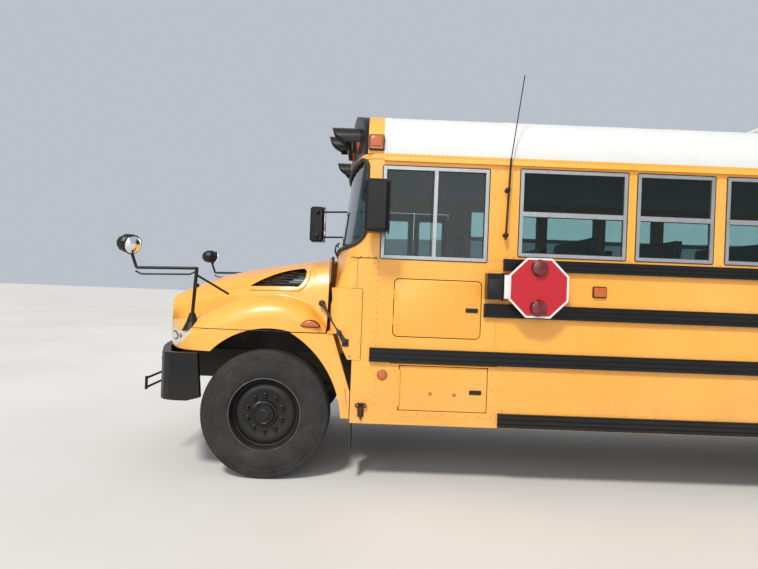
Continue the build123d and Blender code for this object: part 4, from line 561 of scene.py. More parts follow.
BEAD_LINE = ((0.1135, 0.2892), (0.1178, 0.2884), (0.1182, 0.2862), (0.115, 0.285))
FRONT_HUB = (
    (-0.045, 0.0455), (-0.05, 0.088), (0.084, 0.1015), (0.092, 0.101), (0.096, 0.096), (0.097, 0.084),
    (0.104, 0.08), (0.112, 0.0775), (0.118, 0.074), (0.119, 0.069), (0.116, 0.064), (0.118, 0.05),
    (0.126, 0.047), (0.13, 0.04), (0.131, 0.028), (0.128, 0.025), (0.128, 0.001),
)
REAR_HUB = (
    (-0.26, 0.0455), (-0.27, 0.088), (-0.15, 0.125), (-0.12, 0.118), (-0.04, 0.098), (0.034, 0.094),
    (0.044, 0.09), (0.05, 0.084), (0.054, 0.07), (0.0545, 0.001),
)
NUTS, NUT_CIRCLE = 10, 0.1430


def nut_ring(x, y, side):
    """Wheel nuts with their washers and studs, seated at a distance from the bus's middle."""
    m, along = Maker(), (0, side, 0)
    for u, w in circle(x, AXLE_Z, NUT_CIRCLE, NUT_CIRCLE, NUTS, 0.5):
        at = (u, side * y, w)
        m.lathe(at, along, ((-0.002, 0.0235), (0.004, 0.0235), (0.006, 0.0205)), 20)
        m.hexagon(at, along, 0.036, 0.024)
        m.lathe(at, along, ((0.02, 0.011), (0.034, 0.011), (0.036, 0.009), (0.036, 0.0005)), 12)
    return m


def cap_screws(m, x, y, side, count, r, turn, *size):
    for u, w in circle(x, AXLE_Z, r, r, count, turn):
        m.hexagon((u, side * y, w), (0, side, 0), *size)


def make_wheels():
    for side, word in SIDES:
        body, along = f"front_{word}_wheel", (0, side, 0)
        at = (0, side * FRONT_TYRE_Y, AXLE_Z)
        m = Maker().lathe(at, along, FRONT_WHEEL, 96, closed=True).lathe(at, along, FRONT_HUB, 56)
        cap_screws(m, 0, FRONT_TYRE_Y + 0.1185, side, 5, 0.052, 0.25, 0.013, 0.006)
        m.done(f"wheel_front_{word}", "wheel_paint", body, replaces=[f"front_wheel_{word}"])
        nut_ring(0, FRONT_TYRE_Y + 0.0785, side).done(f"nuts_front_{word}", "wheel_paint", body)
        Maker().lathe(at, along, BEAD_LINE, 112, closed=True).done(f"bead_line_{word}", "bare_steel", body)
        body = f"rear_{word}_wheels"
        at = (-WHEELBASE, side * REAR_TYRE_Y, AXLE_Z)
        m = Maker().lathe(at, along, REAR_WHEEL, 96, closed=True)
        m.lathe(at, along, [(-d - DUAL, r) for d, r in REAR_WHEEL], 96, closed=True)
        m.lathe(at, along, REAR_HUB)
        m.done(f"wheels_rear_{word}", "wheel_paint", body, replaces=[f"rear_wheels_{word}"])
        m = nut_ring(-WHEELBASE, REAR_TYRE_Y - 0.150, side)
        cap_screws(m, -WHEELBASE, REAR_TYRE_Y + 0.0535, side, 8, 0.068, 0.0, 0.014, 0.007)
        m.done(f"nuts_rear_{word}", "wheel_paint", body)


# Hood
HOOD_ROWS = (
    # x, side (y, z), crown (y, z), valley (y, z), crease (y, z), shoulder (y, z), rise of the top
    (-0.462, (1.150, 1.130), (1.062, 1.222), (1.036, 1.256), (0.988, 1.498), (0.893, 1.700), 0.092),
    (-0.300, (1.172, 1.250), (1.012, 1.384), (0.986, 1.400), (0.972, 1.492), (0.868, 1.685), 0.092),
    (0.000, (1.175, 1.300), (0.965, 1.450), (0.944, 1.458), (0.941, 1.478), (0.808, 1.645), 0.092),
    (0.330, (1.168, 1.230), (0.900, 1.385), (0.872, 1.393), (0.872, 1.440), (0.712, 1.588), 0.084),
    (0.620, (1.120, 1.130), (0.800, 1.236), (0.775, 1.245), (0.760, 1.388), (0.600, 1.530), 0.070),
    (0.850, (1.035, 1.112), (0.738, 1.196), (0.706, 1.202), (0.655, 1.325), (0.520, 1.450), 0.056),
    (1.060, (0.900, 1.092), (0.692, 1.160), (0.644, 1.166), (0.560, 1.250), (0.450, 1.366), 0.042),
)
HOOD_STATIONS = [row[0] for row in HOOD_ROWS]
HOOD_T, HOOD_LOW, FENDER_LOW, NOSE_LOW, NOSE_X, HOOD_REAR = 0.022, 1.001, 1.180, 1.036, 1.040, -0.462
HOOD_SWEEP = ((0.330, 1.175), (0.560, 1.139), (0.720, 1.040))      # plan of the fender's front corner
VENT_TOP = ((0.209, 1.524), (0.0, 1.632), (-0.244, 1.688))
VENT_REAR = ((-0.266, 1.668), (-0.255, 1.592), (-0.205, 1.532))
COLLAR_OUT, COLLAR_W = 0.009, 0.030       # the raised collar round each vent
ARCH_MIDDLE, ARCH_R = (-0.025, 0.545), 0.655
GRILLE_HALF, GRILLE_LOW, GRILLE_HIGH = 0.560, 1.076, 1.320
LAMP_WEDGE = ((0.606, 1.144), (1.06, 1.146), (1.06, 1.016), (0.80, 1.016), (0.70, 1.06))
LAMP_INNER_Y = 0.66


def eased(values, x):
    """A smooth curve through one value for each of the hood's stations."""
    at = HOOD_STATIONS
    n = max(0, min(len(at) - 2, sum(1 for s in at[1:-1] if s <= x)))

    def slope(k):
        a, b = max(k - 1, 0), min(k + 1, len(at) - 1)
        return (values[b] - values[a]) / (at[b] - at[a])
    h = at[n + 1] - at[n]
    t = (x - at[n]) / h
    return ((1 + 2 * t) * (1 - t) ** 2 * values[n] + t * (1 - t) ** 2 * h * slope(n)
            + t * t * (3 - 2 * t) * values[n + 1] + t * t * (t - 1) * h * slope(n + 1))


def bowed(start, end, bulge, steps):
    """An arc between two points that stands off their chord by a share of it."""
    (ax, ay), (bx, by) = start, end
    middle = ((ax + bx) / 2 + (by - ay) * bulge, (ay + by) / 2 - (bx - ax) * bulge)
    return arc_through(start, middle, end, steps)


def softened(points, corners, reach):
    """Round the named corners of an open path."""
    result = []
    for n, p in enumerate(points):
        if n not in corners:
            result.append(p)
            continue
        p, a, b = Vector(p), Vector(points[n - 1]), Vector(points[n + 1])
        r = min(reach, (a - p).length * 0.45, (b - p).length * 0.45)
        before, after = p + (a - p).normalized() * r, p + (b - p).normalized() * r
        for t in (0.0, 0.33, 0.67, 1.0):
            result.append(tuple(before * (1 - t) ** 2 + p * 2 * t * (1 - t) + after * t * t))
    return result


def hood_row(x, inset):
    """The hood's section at a station, moved in all round, from foot to foot."""
    side, crown, valley, crease, shoulder = (
        tuple(eased([row[k][c] for row in HOOD_ROWS], x) - inset * (1.0, 0.8)[c] for c in (0, 1))
        for k in range(1, 6))
    top = shoulder[1] + eased([row[6] for row in HOOD_ROWS], x)
    half = [(side[0], 0.94)] + bowed(side, crown, 0.2, 8) + [valley]
    foot = len(half)
    half += bowed(crease, shoulder, 0.05, 4)
    brow = len(half) - 1
    half += arc_through(shoulder, (0, top), (-shoulder[0], shoulder[1]), 28)[1:15]
    half = softened(half, (1, 9, 10, foot, brow), 0.022)
    return [(x, y, z) for y, z in half] + [(x, -y, z) for y, z in reversed(half[:-1])]


def hood_block(inset, steps=46):
    """The hood's outer form as a solid, moved in by a distance."""
    first, last = HOOD_STATIONS[0], HOOD_STATIONS[-1]
    block = solid(Maker().rows([hood_row(first + (last - first) * n / steps, inset) for n in range(steps + 1)]))
    rear, nose = HOOD_REAR - 0.2 * (inset > 0), NOSE_X - inset
    shares = ((0.0, 1.0), (0.5, 0.9), (0.8, 0.6))
    start, middle, end = ((x - inset * a, y - inset * b) for (x, y), (a, b) in zip(HOOD_SWEEP, shares))
    half = [(rear, start[1])] + arc_through(start, middle, end, 14)
    half += arc_through(end, (nose, 0), (end[0], -end[1]), 44)[1:22]
    plan = half + [(nose, 0)] + [(x, -y) for x, y in reversed(half)]
    combine(block, solid(Maker().prism(plan, "Z", 0.8, 2.1)), "INTERSECT")
    profile = [(rear, 0.9), (nose, 0.9), (nose - 0.004, 1.15), (nose - 0.04, 1.33), (nose - 0.16, 1.51),
               (0.70, 1.70), (0.60, 2.0), (rear, 2.0)]
    return combine(block, solid(Maker().prism(profile, "Y", -1.3, 1.3)), "INTERSECT")


def vent_bar(grow):
    """The vents' opening as a bar across the hood, moved out all round by a distance."""
    outline = arc_through(*VENT_TOP, 14) + arc_through(*VENT_REAR, 10)
    if grow:
        ahead, behind = outline[1:] + outline[:1], outline[-1:] + outline[:-1]
        area = sum(a[0] * b[1] - b[0] * a[1] for a, b in zip(outline, ahead))
        out = math.copysign(grow, area)
        ways = [(Vector(a) - Vector(b)).normalized() for a, b in zip(ahead, behind)]
        outline = [(p[0] + way.y * out, p[1] - way.x * out) for p, way in zip(outline, ways)]
    return solid(Maker().prism(outline, "Y", -1.35, 1.35))


def hood_tools():
    """What is cut out of the hood: grille, lamps, rear foot, wheel arches and lower edge."""
    yield solid(Maker().block(0.5, 1.1, -GRILLE_HALF, GRILLE_HALF, GRILLE_LOW, GRILLE_HIGH))
    for side, _ in SIDES:
        yield solid(Maker().prism(LAMP_WEDGE, "Y", side * LAMP_INNER_Y, side * 1.3))
    yield solid(Maker().block(HOOD_REAR - 0.3, ARCH_MIDDLE[0], -1.3, 1.3, 0.8, FENDER_LOW))
    x, z = ARCH_MIDDLE
    yield solid(Maker().lathe((x, -1.4, z), (0, 1, 0), ((0, ARCH_R), (2.8, ARCH_R)), 120))
    under = ((-2.0, 0.7), (-2.0, HOOD_LOW), (0.85, HOOD_LOW), (0.93, NOSE_LOW), (1.2, NOSE_LOW), (1.2, 0.7))
    yield solid(Maker().prism(under, "Y", -1.35, 1.35))


def make_hood():
    shell, inside = hood_block(0.0), hood_block(HOOD_T)
    collar = combine(hood_block(-COLLAR_OUT), vent_bar(COLLAR_W), "INTERSECT")
    combine(shell, collar, "UNION")
    combine(shell, inside, "DIFFERENCE")
    combine(shell, vent_bar(0.0), "DIFFERENCE")
    for tool in hood_tools():
        combine(shell, tool, "DIFFERENCE")
    shell.name = "hood_skin"
    shell.location.x = MID
    finish(shell.data, "yellow_paint", 28)
    settle(shell, "yellow_paint", "hood", ["hood_and_fenders"])


# The body's front
SHIELD_CORNER, SHIELD_BOW = 0.140, 0.160
COWL_NOSE, CAP_NOSE = -0.474, -0.574       # the front's middle under the windshield, and at the cap
BOW_R = (BODY_Y ** 2 + SHIELD_BOW ** 2) / (2 * SHIELD_BOW)


def cap_x(y):
    """The front cap's face at a width."""
    return CAP_NOSE - BOW_R + math.sqrt(BOW_R ** 2 - y ** 2)


def plan_at(z, x=None, y=None, out=0.0):
    """A point on the raked front above the cowl, left half, at height z and station x or width y."""
    hub = COWL_NOSE - 0.100 * max(0.0, (z - 1.79) / 0.81) - BOW_R
    c = SHIELD_CORNER
    corner_x = hub + math.sqrt((BOW_R - c) ** 2 - (BODY_Y - c) ** 2)
    if x is not None and x > hub + math.sqrt(BOW_R ** 2 - (BOW_R * (BODY_Y - c) / (BOW_R - c)) ** 2):
        y = math.sqrt(BOW_R ** 2 - (x - hub) ** 2)
    elif x is not None:
        y = BODY_Y - c + math.sqrt(max(0.0, c * c - max(0.0, x - corner_x) ** 2))
        lean = max(0.0, x - corner_x) / c
        return Vector((x + lean * out, y + (1 - lean) * out, z))
    return Vector((hub + math.sqrt((BOW_R + out) ** 2 - y * y), y, z))


def front_at(z, y, out=0.0):
    """A point on the raked front at height z and width y, on either side."""
    p = plan_at(z, y=abs(y), out=out)
    return Vector((p.x, y, z))


def flipped(points):
    """The same points on the other side, in reverse."""
    return [Vector((p.x, -p.y, p.z)) for p in reversed(points)]


def shield_path(low, high, rear, sweep, brow, out):
    """The windshield's edge, all round, as points on the front."""
    a, b = sweep - sweep * math.sqrt(0.5), brow - brow * math.sqrt(0.5)
    foot = arc_through((rear, low + sweep), (rear + a, low + a), (rear + sweep, low), 9)
    top = arc_through((rear + brow, high), (rear + b, high - b), (rear, high - brow), 5)
    half = [plan_at(z, x=x, out=out) for x, z in foot]
    half += [front_at(low, y, out) for y in (0.92, 0.75, 0.5, 0.25)]
    roof = [front_at(high, y, out) for y in (0.25, 0.5, 0.75, 0.95)]
    roof += [plan_at(z, x=x, out=out) for x, z in top]
    return [*half, front_at(low, 0.0, out), *flipped(half), *flipped(roof), front_at(high, 0.0, out), *roof]


def tree_of(name):
    """A search tree of one piece in axle-frame metres."""
    ob = bpy.data.objects[name] if name in bpy.data.objects else frame["nodes"][name]
    corners = [ob.matrix_world @ v.co - Vector((MID, 0, 0)) for v in ob.data.vertices]
    return BVHTree.FromPolygons(corners, [tuple(p.vertices) for p in ob.data.polygons])


def dropped(tree, x, z, out=0.0004):
    """The point on the left face of a piece at a station and a height."""
    hit = tree.ray_cast(Vector((x, 3.0, z)), Vector((0, -1, 0)))
    return hit[0] + hit[1] * out if hit[0] else None


def overlay(tree, outline, out, crown=0.0):
    """A closed skin that follows a piece's left face inside an outline of (x, z), and its twin."""
    cx, cz = (sum(p[c] for p in outline) / len(outline) for c in (0, 1))
    rows = []
    for k in (0.02, 0.3, 0.6, 0.85, 1.0):
        rise = out + crown * math.sqrt(max(0.0, 1 - k * k))
        rows.append([dropped(tree, cx + (x - cx) * k, cz + (z - cz) * k, rise) for x, z in outline])
    rows.append([p - Vector((0, out + 0.0015, 0)) for p in rows[-1]])
    return Maker().rows(rows).mirror()


def make_windshield_trim():
    m = Maker().loop(shield_path(1.868, 2.566, -0.755, 0.165, 0.070, 0.004), 0.017, 10)
    m.done("windshield_gasket", "flap_rubber")
    m = Maker()
    for y, reach in ((0.62, 0.10), (-0.20, -0.72)):
        pivot = front_at(1.83, y, 0.012)
        tip = front_at(1.925, (y + reach) / 2, 0.040)
        m.tube([pivot, pivot + Vector((0.03, 0, 0.02)), tip], (0.012, 0.009, 0.006), 8)
        boss = ((0, 0.022), (0.02, 0.022), (0.03, 0.016), (0.034, 0.004))
        m.lathe(pivot - Vector((0.006, 0, 0)), (1, 0, 0.3), boss, 16)
        blade = [front_at(1.925, tip.y - 0.30 + 0.075 * t, 0.022) for t in range(9)]
        m.tube(blade, 0.007, 6).tube([b + Vector((0.012, 0, 0.004)) for b in blade[1:-1]], 0.004, 6)
    m.done("wipers", "dark_plastic")


def band_on_front(m, z0, z1, thick, front_x, steps=22):
    """A flat band round the front at a height, back along both sides to front_x."""
    def row(z):
        pts = [Vector((front_x, BODY_Y, z))]
        pts += [plan_at(z, x=x) for x in (-0.83, -0.81, -0.79, -0.77, -0.75, -0.73, -0.715)]
        pts += [plan_at(z, y=1.08 * (1 - n / steps)) for n in range(1, steps + 1)]
        return pts + flipped(pts[:-1])
    low, rows = row(z0), []
    for a, b, (u, _) in zip(low, row(z1), frames(low)):
        out = Vector((u.x, u.y, 0)).normalized() * thick
        if out.dot(Vector((1.0 if abs(a.y) < 1.0 else 0.4, a.y, 0))) < 0:
            out = -out
        rows.append([a, b, b + out, a + out])
    m.rows(rows)


def make_drip_rails():
    lip = ((1.2185, 2.6), (1.227, 2.6), (1.23, 2.566), (1.242, 2.5505), (1.245, 2.544), (1.229, 2.544),
           (1.2185, 2.548))
    m = Maker().prism(lip, "X", REAR_X + 0.01, -0.876).mirror()
    band_on_front(m, 2.560, 2.598, 0.006, -0.876)
    m.done("drip_rails", "yellow_paint", smooth=40)
    m, first, pitch = Maker(), -0.900, 0.036
    for n in range(int((first - REAR_X - 0.03) / pitch) + 1):
        m.dome((first - pitch * n, 1.2283, 2.586), (0, 1, 0.1), 0.0062, 0.0034)
    m.mirror()
    for n in range(-28, 29):
        y = n * 0.037
        m.dome(front_at(2.580, y, 0.0062), (1, y * 0.25, 0), 0.0060, 0.0032)
    m.done("drip_rail_rivets", "yellow_paint", material="rivet_and_crease_shade_yellow")


# Side walls
PILLARS = [-2.83] + [-3.5255 - 0.705 * n for n in range(9)]
LAPS = [-1.815 - 1.41 * n + 0.75 for n in range(1, 7)]      # stations where the side sheets lap
ARCH_CLEAR = 0.66               # nearest station to the rear axle for work low on the wall
WALL_BANDS = (
    # wall between the rub rails: low and high edge, then its rivets' low and high end and pitch
    (1.4625, 1.7235, 1.490, 1.700, 0.042),
    (1.0865, 1.3535, 1.112, 1.330, 0.042),
    (0.6065, 0.9765, 0.640, 0.950, 0.062),
)
LEFT_RIVETS = (
    # x and z of both ends, pitch, and a head's radius and height where it isn't the usual one
    (-1.716, 1.800, -1.830, 1.800, 0.026), (-1.795, 1.130, -1.795, 1.330, 0.030),
    (-1.752, 1.845, -1.752, 2.500, 0.190, 0.006, 0.003), (-1.905, 1.870, -1.905, 2.510, 0.160, 0.005, 0.003),
    (-1.840, 0.630, -1.840, 0.950, 0.155), (-1.862, 0.630, -1.862, 0.950, 0.155),
    (-0.862, 1.105, -0.862, 1.760, 0.052), (-0.830, 1.130, -0.830, 1.740, 0.090),
    (-0.868, 0.520, -0.868, 0.955, 0.062),
)
RIGHT_RIVETS = ((-0.800, 0.520, -0.800, 1.760, 0.075), (-1.745, 0.640, -1.745, 2.50, 0.090))
LEFT_SCREWS = ((-0.960, 1.190), (-0.965, 1.40), (-0.955, 1.55), (-1.20, 1.760), (-1.45, 1.760), (-1.68, 1.760))


def lapped_bands():
    """Each lap's station with each band of wall that it crosses."""
    for x in LAPS:
        for band in WALL_BANDS:
            if band[0] > 1.0 or abs(x + WHEELBASE) > ARCH_CLEAR:
                yield x, *band


def rivet_rows(side):
    """All rivet rows of one side wall, in the form of LEFT_RIVETS."""
    first = -1.835 if side > 0 else -1.760
    for x in PILLARS:
        for a in (x - 0.034, x + 0.034):
            yield a, 1.875, a, 2.505, 0.105, 0.0045, 0.0025
    yield first - 0.02, 1.832, REAR_X + 0.05, 1.832, 0.060
    for z in (1.707, 1.478, 1.340, 1.100, 0.962, 0.620):
        yield first - 0.04, z, REAR_X + 0.05, z, 0.120, 0.0048, 0.0026
    for x, _, _, low, high, pitch in lapped_bands():
        for a in (x - 0.012, x + 0.012):
            yield a, low, a, high, pitch, 0.0045, 0.0024
    yield from LEFT_RIVETS if side > 0 else RIGHT_RIVETS


def make_side_walls():
    for side, word in SIDES:
        m, y, out = Maker(), side * (BODY_Y + 0.0002), (0, side, 0)
        for x0, z0, x1, z1, pitch, *head in rivet_rows(side):
            m.rivets((x0, y, z0), (x1, y, z1), pitch, out, *head)
        for x, z in LEFT_SCREWS if side > 0 else ():
            m.dome((x, y, z), out, 0.0055, 0.003)
        m.done(f"wall_rivets_{word}", "yellow_paint", material="rivet_and_crease_shade_yellow")
    m, inner, outer = Maker(), BODY_Y - 0.001, BODY_Y + 0.0012
    for x, z0, z1, *_ in lapped_bands():
        m.block(x - 0.021, x + 0.021, inner, outer, z0, z1, 0.0008, 1)
    m.block(-1.831, -1.799, inner, outer, *WALL_BANDS[1][:2], 0.0008, 1).mirror()
    m.block(-1.870, -1.832, inner, outer, *WALL_BANDS[2][:2], 0.0008, 1)
    m.done("sheet_seams", "yellow_paint", smooth=20)


# The cowl's side panel, which laps over the wall behind the front wheel
COWL_EDGE = ((-0.478, 1.76), (-0.49, 1.6), (-0.508, 1.4), (-0.545, 1.2), (-0.598, 1.06), (-0.634, 0.984))
COWL_REAR, COWL_TOP, COWL_FOOT = -0.745, 1.540, 0.984
COWL_CORNER, COWL_CORNER_X = 0.120, -0.6185


def cowl_front(z):
    """The station of the cowl's front edge at a height."""
    for (xa, za), (xb, zb) in zip(COWL_EDGE, COWL_EDGE[1:]):
        if zb <= z <= za:
            return xa + (xb - xa) * (za - z) / (za - zb)
    return COWL_EDGE[0][0]


def cowl_at(x, z, out):
    lean = min(1.0, max(0.0, (x - COWL_CORNER_X) / COWL_CORNER))
    rise = math.sqrt(max(0.0, 1 - lean * lean))
    return Vector((x + lean * out, BODY_Y - COWL_CORNER + COWL_CORNER * rise + rise * out, z))


def make_cowl_trim():
    m, rows = Maker(), []
    for k in range(33):
        z = COWL_TOP - (COWL_TOP - COWL_FOOT) * k / 32
        reach = min(cowl_front(z) - 0.010, COWL_CORNER_X + COWL_CORNER * 0.97) - COWL_REAR
        line = [COWL_REAR + reach * n / 24 for n in range(25)]
        rows.append([cowl_at(x, z, 0.0065) for x in line] + [cowl_at(x, z, 0.0010) for x in reversed(line)])
    m.rows(rows).mirror().done("cowl_side_skins", "yellow_paint", smooth=28)
    m, out = Maker(), (0, 1, 0)
    for z in (1.01, 1.12, 1.24, 1.36, 1.48):
        m.dome((-0.732, BODY_Y + 0.0063, z), out, 0.0055, 0.003)
    m.dome((-0.662, BODY_Y + 0.0063, 1.010), out, 0.008, 0.005, 12)
    m.rivets((-0.66, BODY_Y + 0.0005, 1.792), (-0.84, BODY_Y + 0.0005, 1.792), 0.055, out, 0.005, 0.003)
    m.mirror().done("cowl_screws", "bare_steel")
    m = Maker().block(-0.86, -0.640, BODY_Y - 0.001, BODY_Y + 0.003, 1.779, 1.785, 0.001, 1)
    for x0, x1, out, z0, z1 in ((-0.7485, -0.7465, 0.004, 0.99, 1.54), (-0.700, -0.698, 0.0015, 1.545, 1.779),
                                (-0.7465, -0.640, 0.0045, 1.5395, 1.5425)):
        m.block(x0, x1, BODY_Y - 0.001, BODY_Y + out, z0, z1)
    m.mirror().done("cowl_seams", "dark_plastic")


# Flaps and lamps on the side walls
def latch(x, z, y=BODY_Y + 0.001, width=0.096, height=0.034):
    """A paddle latch that stands out from y: a bezel round a recess with a bar across."""
    bezel = round_rect(x - width / 2, x + width / 2, z - height / 2, z + height / 2, 0.008)
    m = Maker().prism(bezel, "Y", y - 0.001, y + 0.004, 0.0012)
    m.block(x - width * 0.40, x + width * 0.10, y + 0.003, y + 0.007,
            z - height * 0.26, z + height * 0.26, 0.002)
    return m.lathe((x + width * 0.30, y + 0.003, z), (0, 1, 0),
                   ((0, 0.008), (0.004, 0.008), (0.005, 0.006), (0.003, 0.002)), 16)


def make_flap_trim():
    latch(-1.654, 0.761).done("battery_latch", "dark_plastic", "battery_flap")
    latch(-1.603, 1.401).done("side_latch", "dark_plastic", "side_flap")
    face = -BODY_Y - 0.001
    m = latch(-2.815, 0.785, face, 0.06, 0.03)
    for v in m.bm.verts:
        if v.co.y > face - 0.0001:
            v.co.y = 2 * face - v.co.y
    m.done("fuel_latch", "dark_plastic", "fuel_flap")
    y, out = BODY_Y, (0, 1, 0)
    m, (x0, x1, z0, z1) = Maker(), (-1.7485, -1.0515, 0.6015, 0.9565)
    for a, b, top in ((-1.805, x0, z1 + 0.012), (x1, -0.988, z1 + 0.012), (x0, x1, z0)):
        m.block(a, b, y - 0.001, y + 0.002, z0 - 0.045, top, 0.0012, 1)
    lip = ((-0.001, 0.977), (0.003, 0.977), (0.020, 0.966), (0.020, 0.962), (0.003, 0.9635), (-0.001, 0.9635))
    m.prism([(y + d, z) for d, z in lip], "X", -1.818, -0.978)
    m.done("battery_surround", "yellow_paint", smooth=20)
    m, y, head = Maker(), BODY_Y + 0.002, (0.0055, 0.003)
    m.rivets((-1.780, y, 0.578), (-1.010, y, 0.578), 0.096, out, *head)
    for x in (-1.778, -1.020):
        m.rivets((x, y, 0.665), (x, y, 0.905), 0.12, out, *head)
    m.done("battery_rivets", "bare_steel")
    m, spot = Maker(), ((0, 0.015), (0.001, 0.015), (0.0014, 0.013), (0.0016, 0.001))
    for x, z in ((-1.302, 0.740), (-1.489, 0.735)):
        m.lathe((x, BODY_Y - 0.0005, z), out, spot, 20)
    m.done("battery_spots", "amber_lens", "battery_flap")


def lens_dome(m, at, along, r, depth):
    rings = [(depth * math.sin(a) + 0.001, r * math.cos(a)) for a in (0.0, 0.25, 0.5, 0.75, 1.0, 1.25, 1.5)]
    m.lathe(at, along, [(0.0, r)] + rings, 40)


def plates(name, slot, rows, axis="Y", body="bus", material=None, smooth=32.0):
    """Round-cornered plates on both sides: outline, low and high face, edge's bevel and its steps."""
    m = Maker()
    for outline, low, high, *edge in rows:
        m.prism(outline, axis, low, high, *edge)
    m.mirror().done(name, slot, body, material, smooth=smooth)


def make_markers():
    y, round_lamps = BODY_Y, ((-0.922, 1), (-0.760, -1))
    m = Maker().prism(round_rect(-2.655, -2.542, 1.537, 1.627, 0.014), "Y", y, y + 0.010, 0.003)
    m.mirror()
    for x, s in round_lamps:
        m.lathe((x, s * y, 0.873), (0, s, 0), ((0, 0.041), (0.003, 0.041), (0.005, 0.039)), 36)
    m.done("marker_bezels", "dark_plastic")
    m = Maker().prism(round_rect(-2.647, -2.550, 1.545, 1.619, 0.010), "Y", y + 0.009, y + 0.024, 0.007, 3)
    m.mirror()
    face = ((0, 0.0375), (0.0015, 0.0375), (0.0022, 0.036), (0.0024, 0.001))
    for x, s in round_lamps:
        m.lathe((x, s * (y + 0.0045), 0.873), (0, s, 0), face, 36)
    m.done("side_markers", "amber_lens")
    rear = ((round_rect(-9.42, -9.325, 0.885, 0.945, 0.008), y, y + 0.016, 0.005),
            (round_rect(-9.655, -9.57, 1.560, 1.625, 0.010), y, y + 0.020, 0.006))
    plates("rear_side_markers", "red_paint", rear, material="red_lens")
    # tall signal lamps in the gap between hood and cowl, teardrop lamps on the fenders, lamps beside the cap
    tall = round_rect(1.015, 1.095, 1.575, 1.775, 0.035, 6)
    base = round_rect(1.005, 1.105, 1.562, 1.788, 0.042, 6)
    plates("cowl_signal_lamps", "amber_lens", [(tall, -0.500, -0.468, 0.012, 3)], "X", smooth=50)
    plates("cowl_lamp_bases", "dark_plastic", [(base, -0.504, -0.486, 0.003)], "X")
    drop = arc_through((-0.27, 1.231), (-0.345, 1.272), (-0.415, 1.231), 14) + [(-0.4, 1.2245), (-0.3, 1.2245)]
    rim = arc_through((-0.263, 1.228), (-0.345, 1.278), (-0.422, 1.228), 14)
    rim += [(-0.405, 1.2175), (-0.295, 1.2175)]
    plates("fender_lamps", "amber_lens", [(drop, 1.150, 1.190, 0.011, 3)], body="hood", smooth=50)
    plates("fender_lamp_rims", "dark_plastic", [(rim, 1.140, 1.1775, 0.002, 1)], body="hood")
    housing = round_rect(-0.872, -0.751, 2.622, 2.746, 0.012)
    cover = round_rect(-0.858, -0.765, 2.650, 2.736, 0.010)
    plates("clearance_housings", "dark_plastic", [(housing, 1.205, 1.236, 0.004)], smooth=50)
    plates("clearance_lenses", "amber_lens", [(cover, 1.232, 1.252, 0.008, 3)], smooth=50)


# Hood and cowl trim
# Lines along the hood's creases, drawn as thin darker-yellow tubes on its skin: painted shade.
HOOD_CREASE_SHADE_LINES = (
    ((0.583, 1.445), (0.50, 1.468), (0.41, 1.489), (0.31, 1.505), (0.245, 1.512)),
    ((-0.300, 1.520), (-0.36, 1.521), (-0.450, 1.519)),
    ((-0.285, 1.715), (-0.322, 1.690), (-0.338, 1.640), (-0.332, 1.570), (-0.312, 1.524)),
)
STRAP = ((-0.418, 1.046, 1.408), (-0.452, 1.085, 1.362), (-0.505, 1.150, 1.288), (-0.560, 1.205, 1.214),
         (-0.600, 1.238, 1.154), (-0.622, 1.243, 1.120))
STRAP_R = (0.015, 0.011, 0.0105, 0.011, 0.017, 0.019)


def make_hood_seams():
    sweep, path = arc_through(*HOOD_SWEEP, 24), []
    for n in range(25):
        x = -0.17 + (0.600 + 0.17) * n / 24
        y = eased([row[1][0] for row in HOOD_ROWS], x)
        if x > HOOD_SWEEP[0][0]:
            y = min(y, min((abs(a - x), b) for a, b in sweep)[1])
        path.append(Vector((x, y + 0.0006, FENDER_LOW)))
    Maker().tube(path, 0.0028, 6).mirror().done("fender_seams", "flap_rubber", "hood")
    # Painted shade: thin darker-yellow tubes laid along the hood's creases.
    m, tree = Maker(), tree_of("hood_skin")
    for crease in HOOD_CREASE_SHADE_LINES:
        line = []
        for (xa, za), (xb, zb) in zip(crease, crease[1:]):
            line += [dropped(tree, xa + (xb - xa) * n / 6, za + (zb - za) * n / 6) for n in range(6)]
        line = [p for p in line if p]
        if len(line) > 2:
            m.tube(line, 0.0016, 6)
    m.mirror().done("hood_crease_shade_lines", "flap_rubber", "hood", "rivet_and_crease_shade_yellow")


def make_hood_straps():
    boss = ((0, 0.024), (0.03, 0.026), (0.044, 0.024), (0.052, 0.016), (0.054, 0.002))
    m = Maker().lathe(Vector(STRAP[0]) - Vector((0, 0.035, 0)), (0.1, 1, 0), boss, 20)
    m.mirror().done("hood_strap_bosses", "flap_rubber", "hood")
    peg = ((0, 0.016), (0.024, 0.016), (0.034, 0.021), (0.044, 0.017), (0.046, 0.002))
    m = Maker().tube(STRAP, STRAP_R).lathe((-0.575, BODY_Y - 0.004, 1.194), (0, 1, 0), peg, 18)
    m.block(-0.652, -0.600, BODY_Y - 0.002, BODY_Y + 0.016, 1.086, 1.144, 0.004)
    m.mirror().done("hood_straps", "flap_rubber")


def make_skirt_latches():
    """Rusty turn latches low on the cowl."""
    x, y, z = -0.765, BODY_Y, 0.590
    m = Maker().block(x - 0.025, x + 0.025, y - 0.001, y + 0.004, z - 0.050, z + 0.050, 0.002, 1)
    m.block(x - 0.015, x + 0.015, y + 0.003, y + 0.022, z - 0.030, z + 0.032, 0.005)
    half = ((0.040, 0.035), (0.040, 0.050), (0.022, 0.058))
    ring = [(-a, b) for a, b in half] + [(a, b) for a, b in reversed(half)] + [(0.018, 0.022), (-0.018, 0.022)]
    m.loop([(x + a, y + 0.020, z + b) for a, b in ring], 0.006)
    m.tube([(x, y + 0.021, z + 0.025), (x, y + 0.026, z - 0.015), (x, y + 0.015, z - 0.066)], 0.008, 8)
    for dx in (-0.016, 0.016):
        for dz in (-0.042, 0.042):
            m.dome((x + dx, y + 0.003, z + dz), (0, 1, 0), 0.0055, 0.004)
    m.mirror().done("skirt_latches", "bare_steel", material="dark_rust")


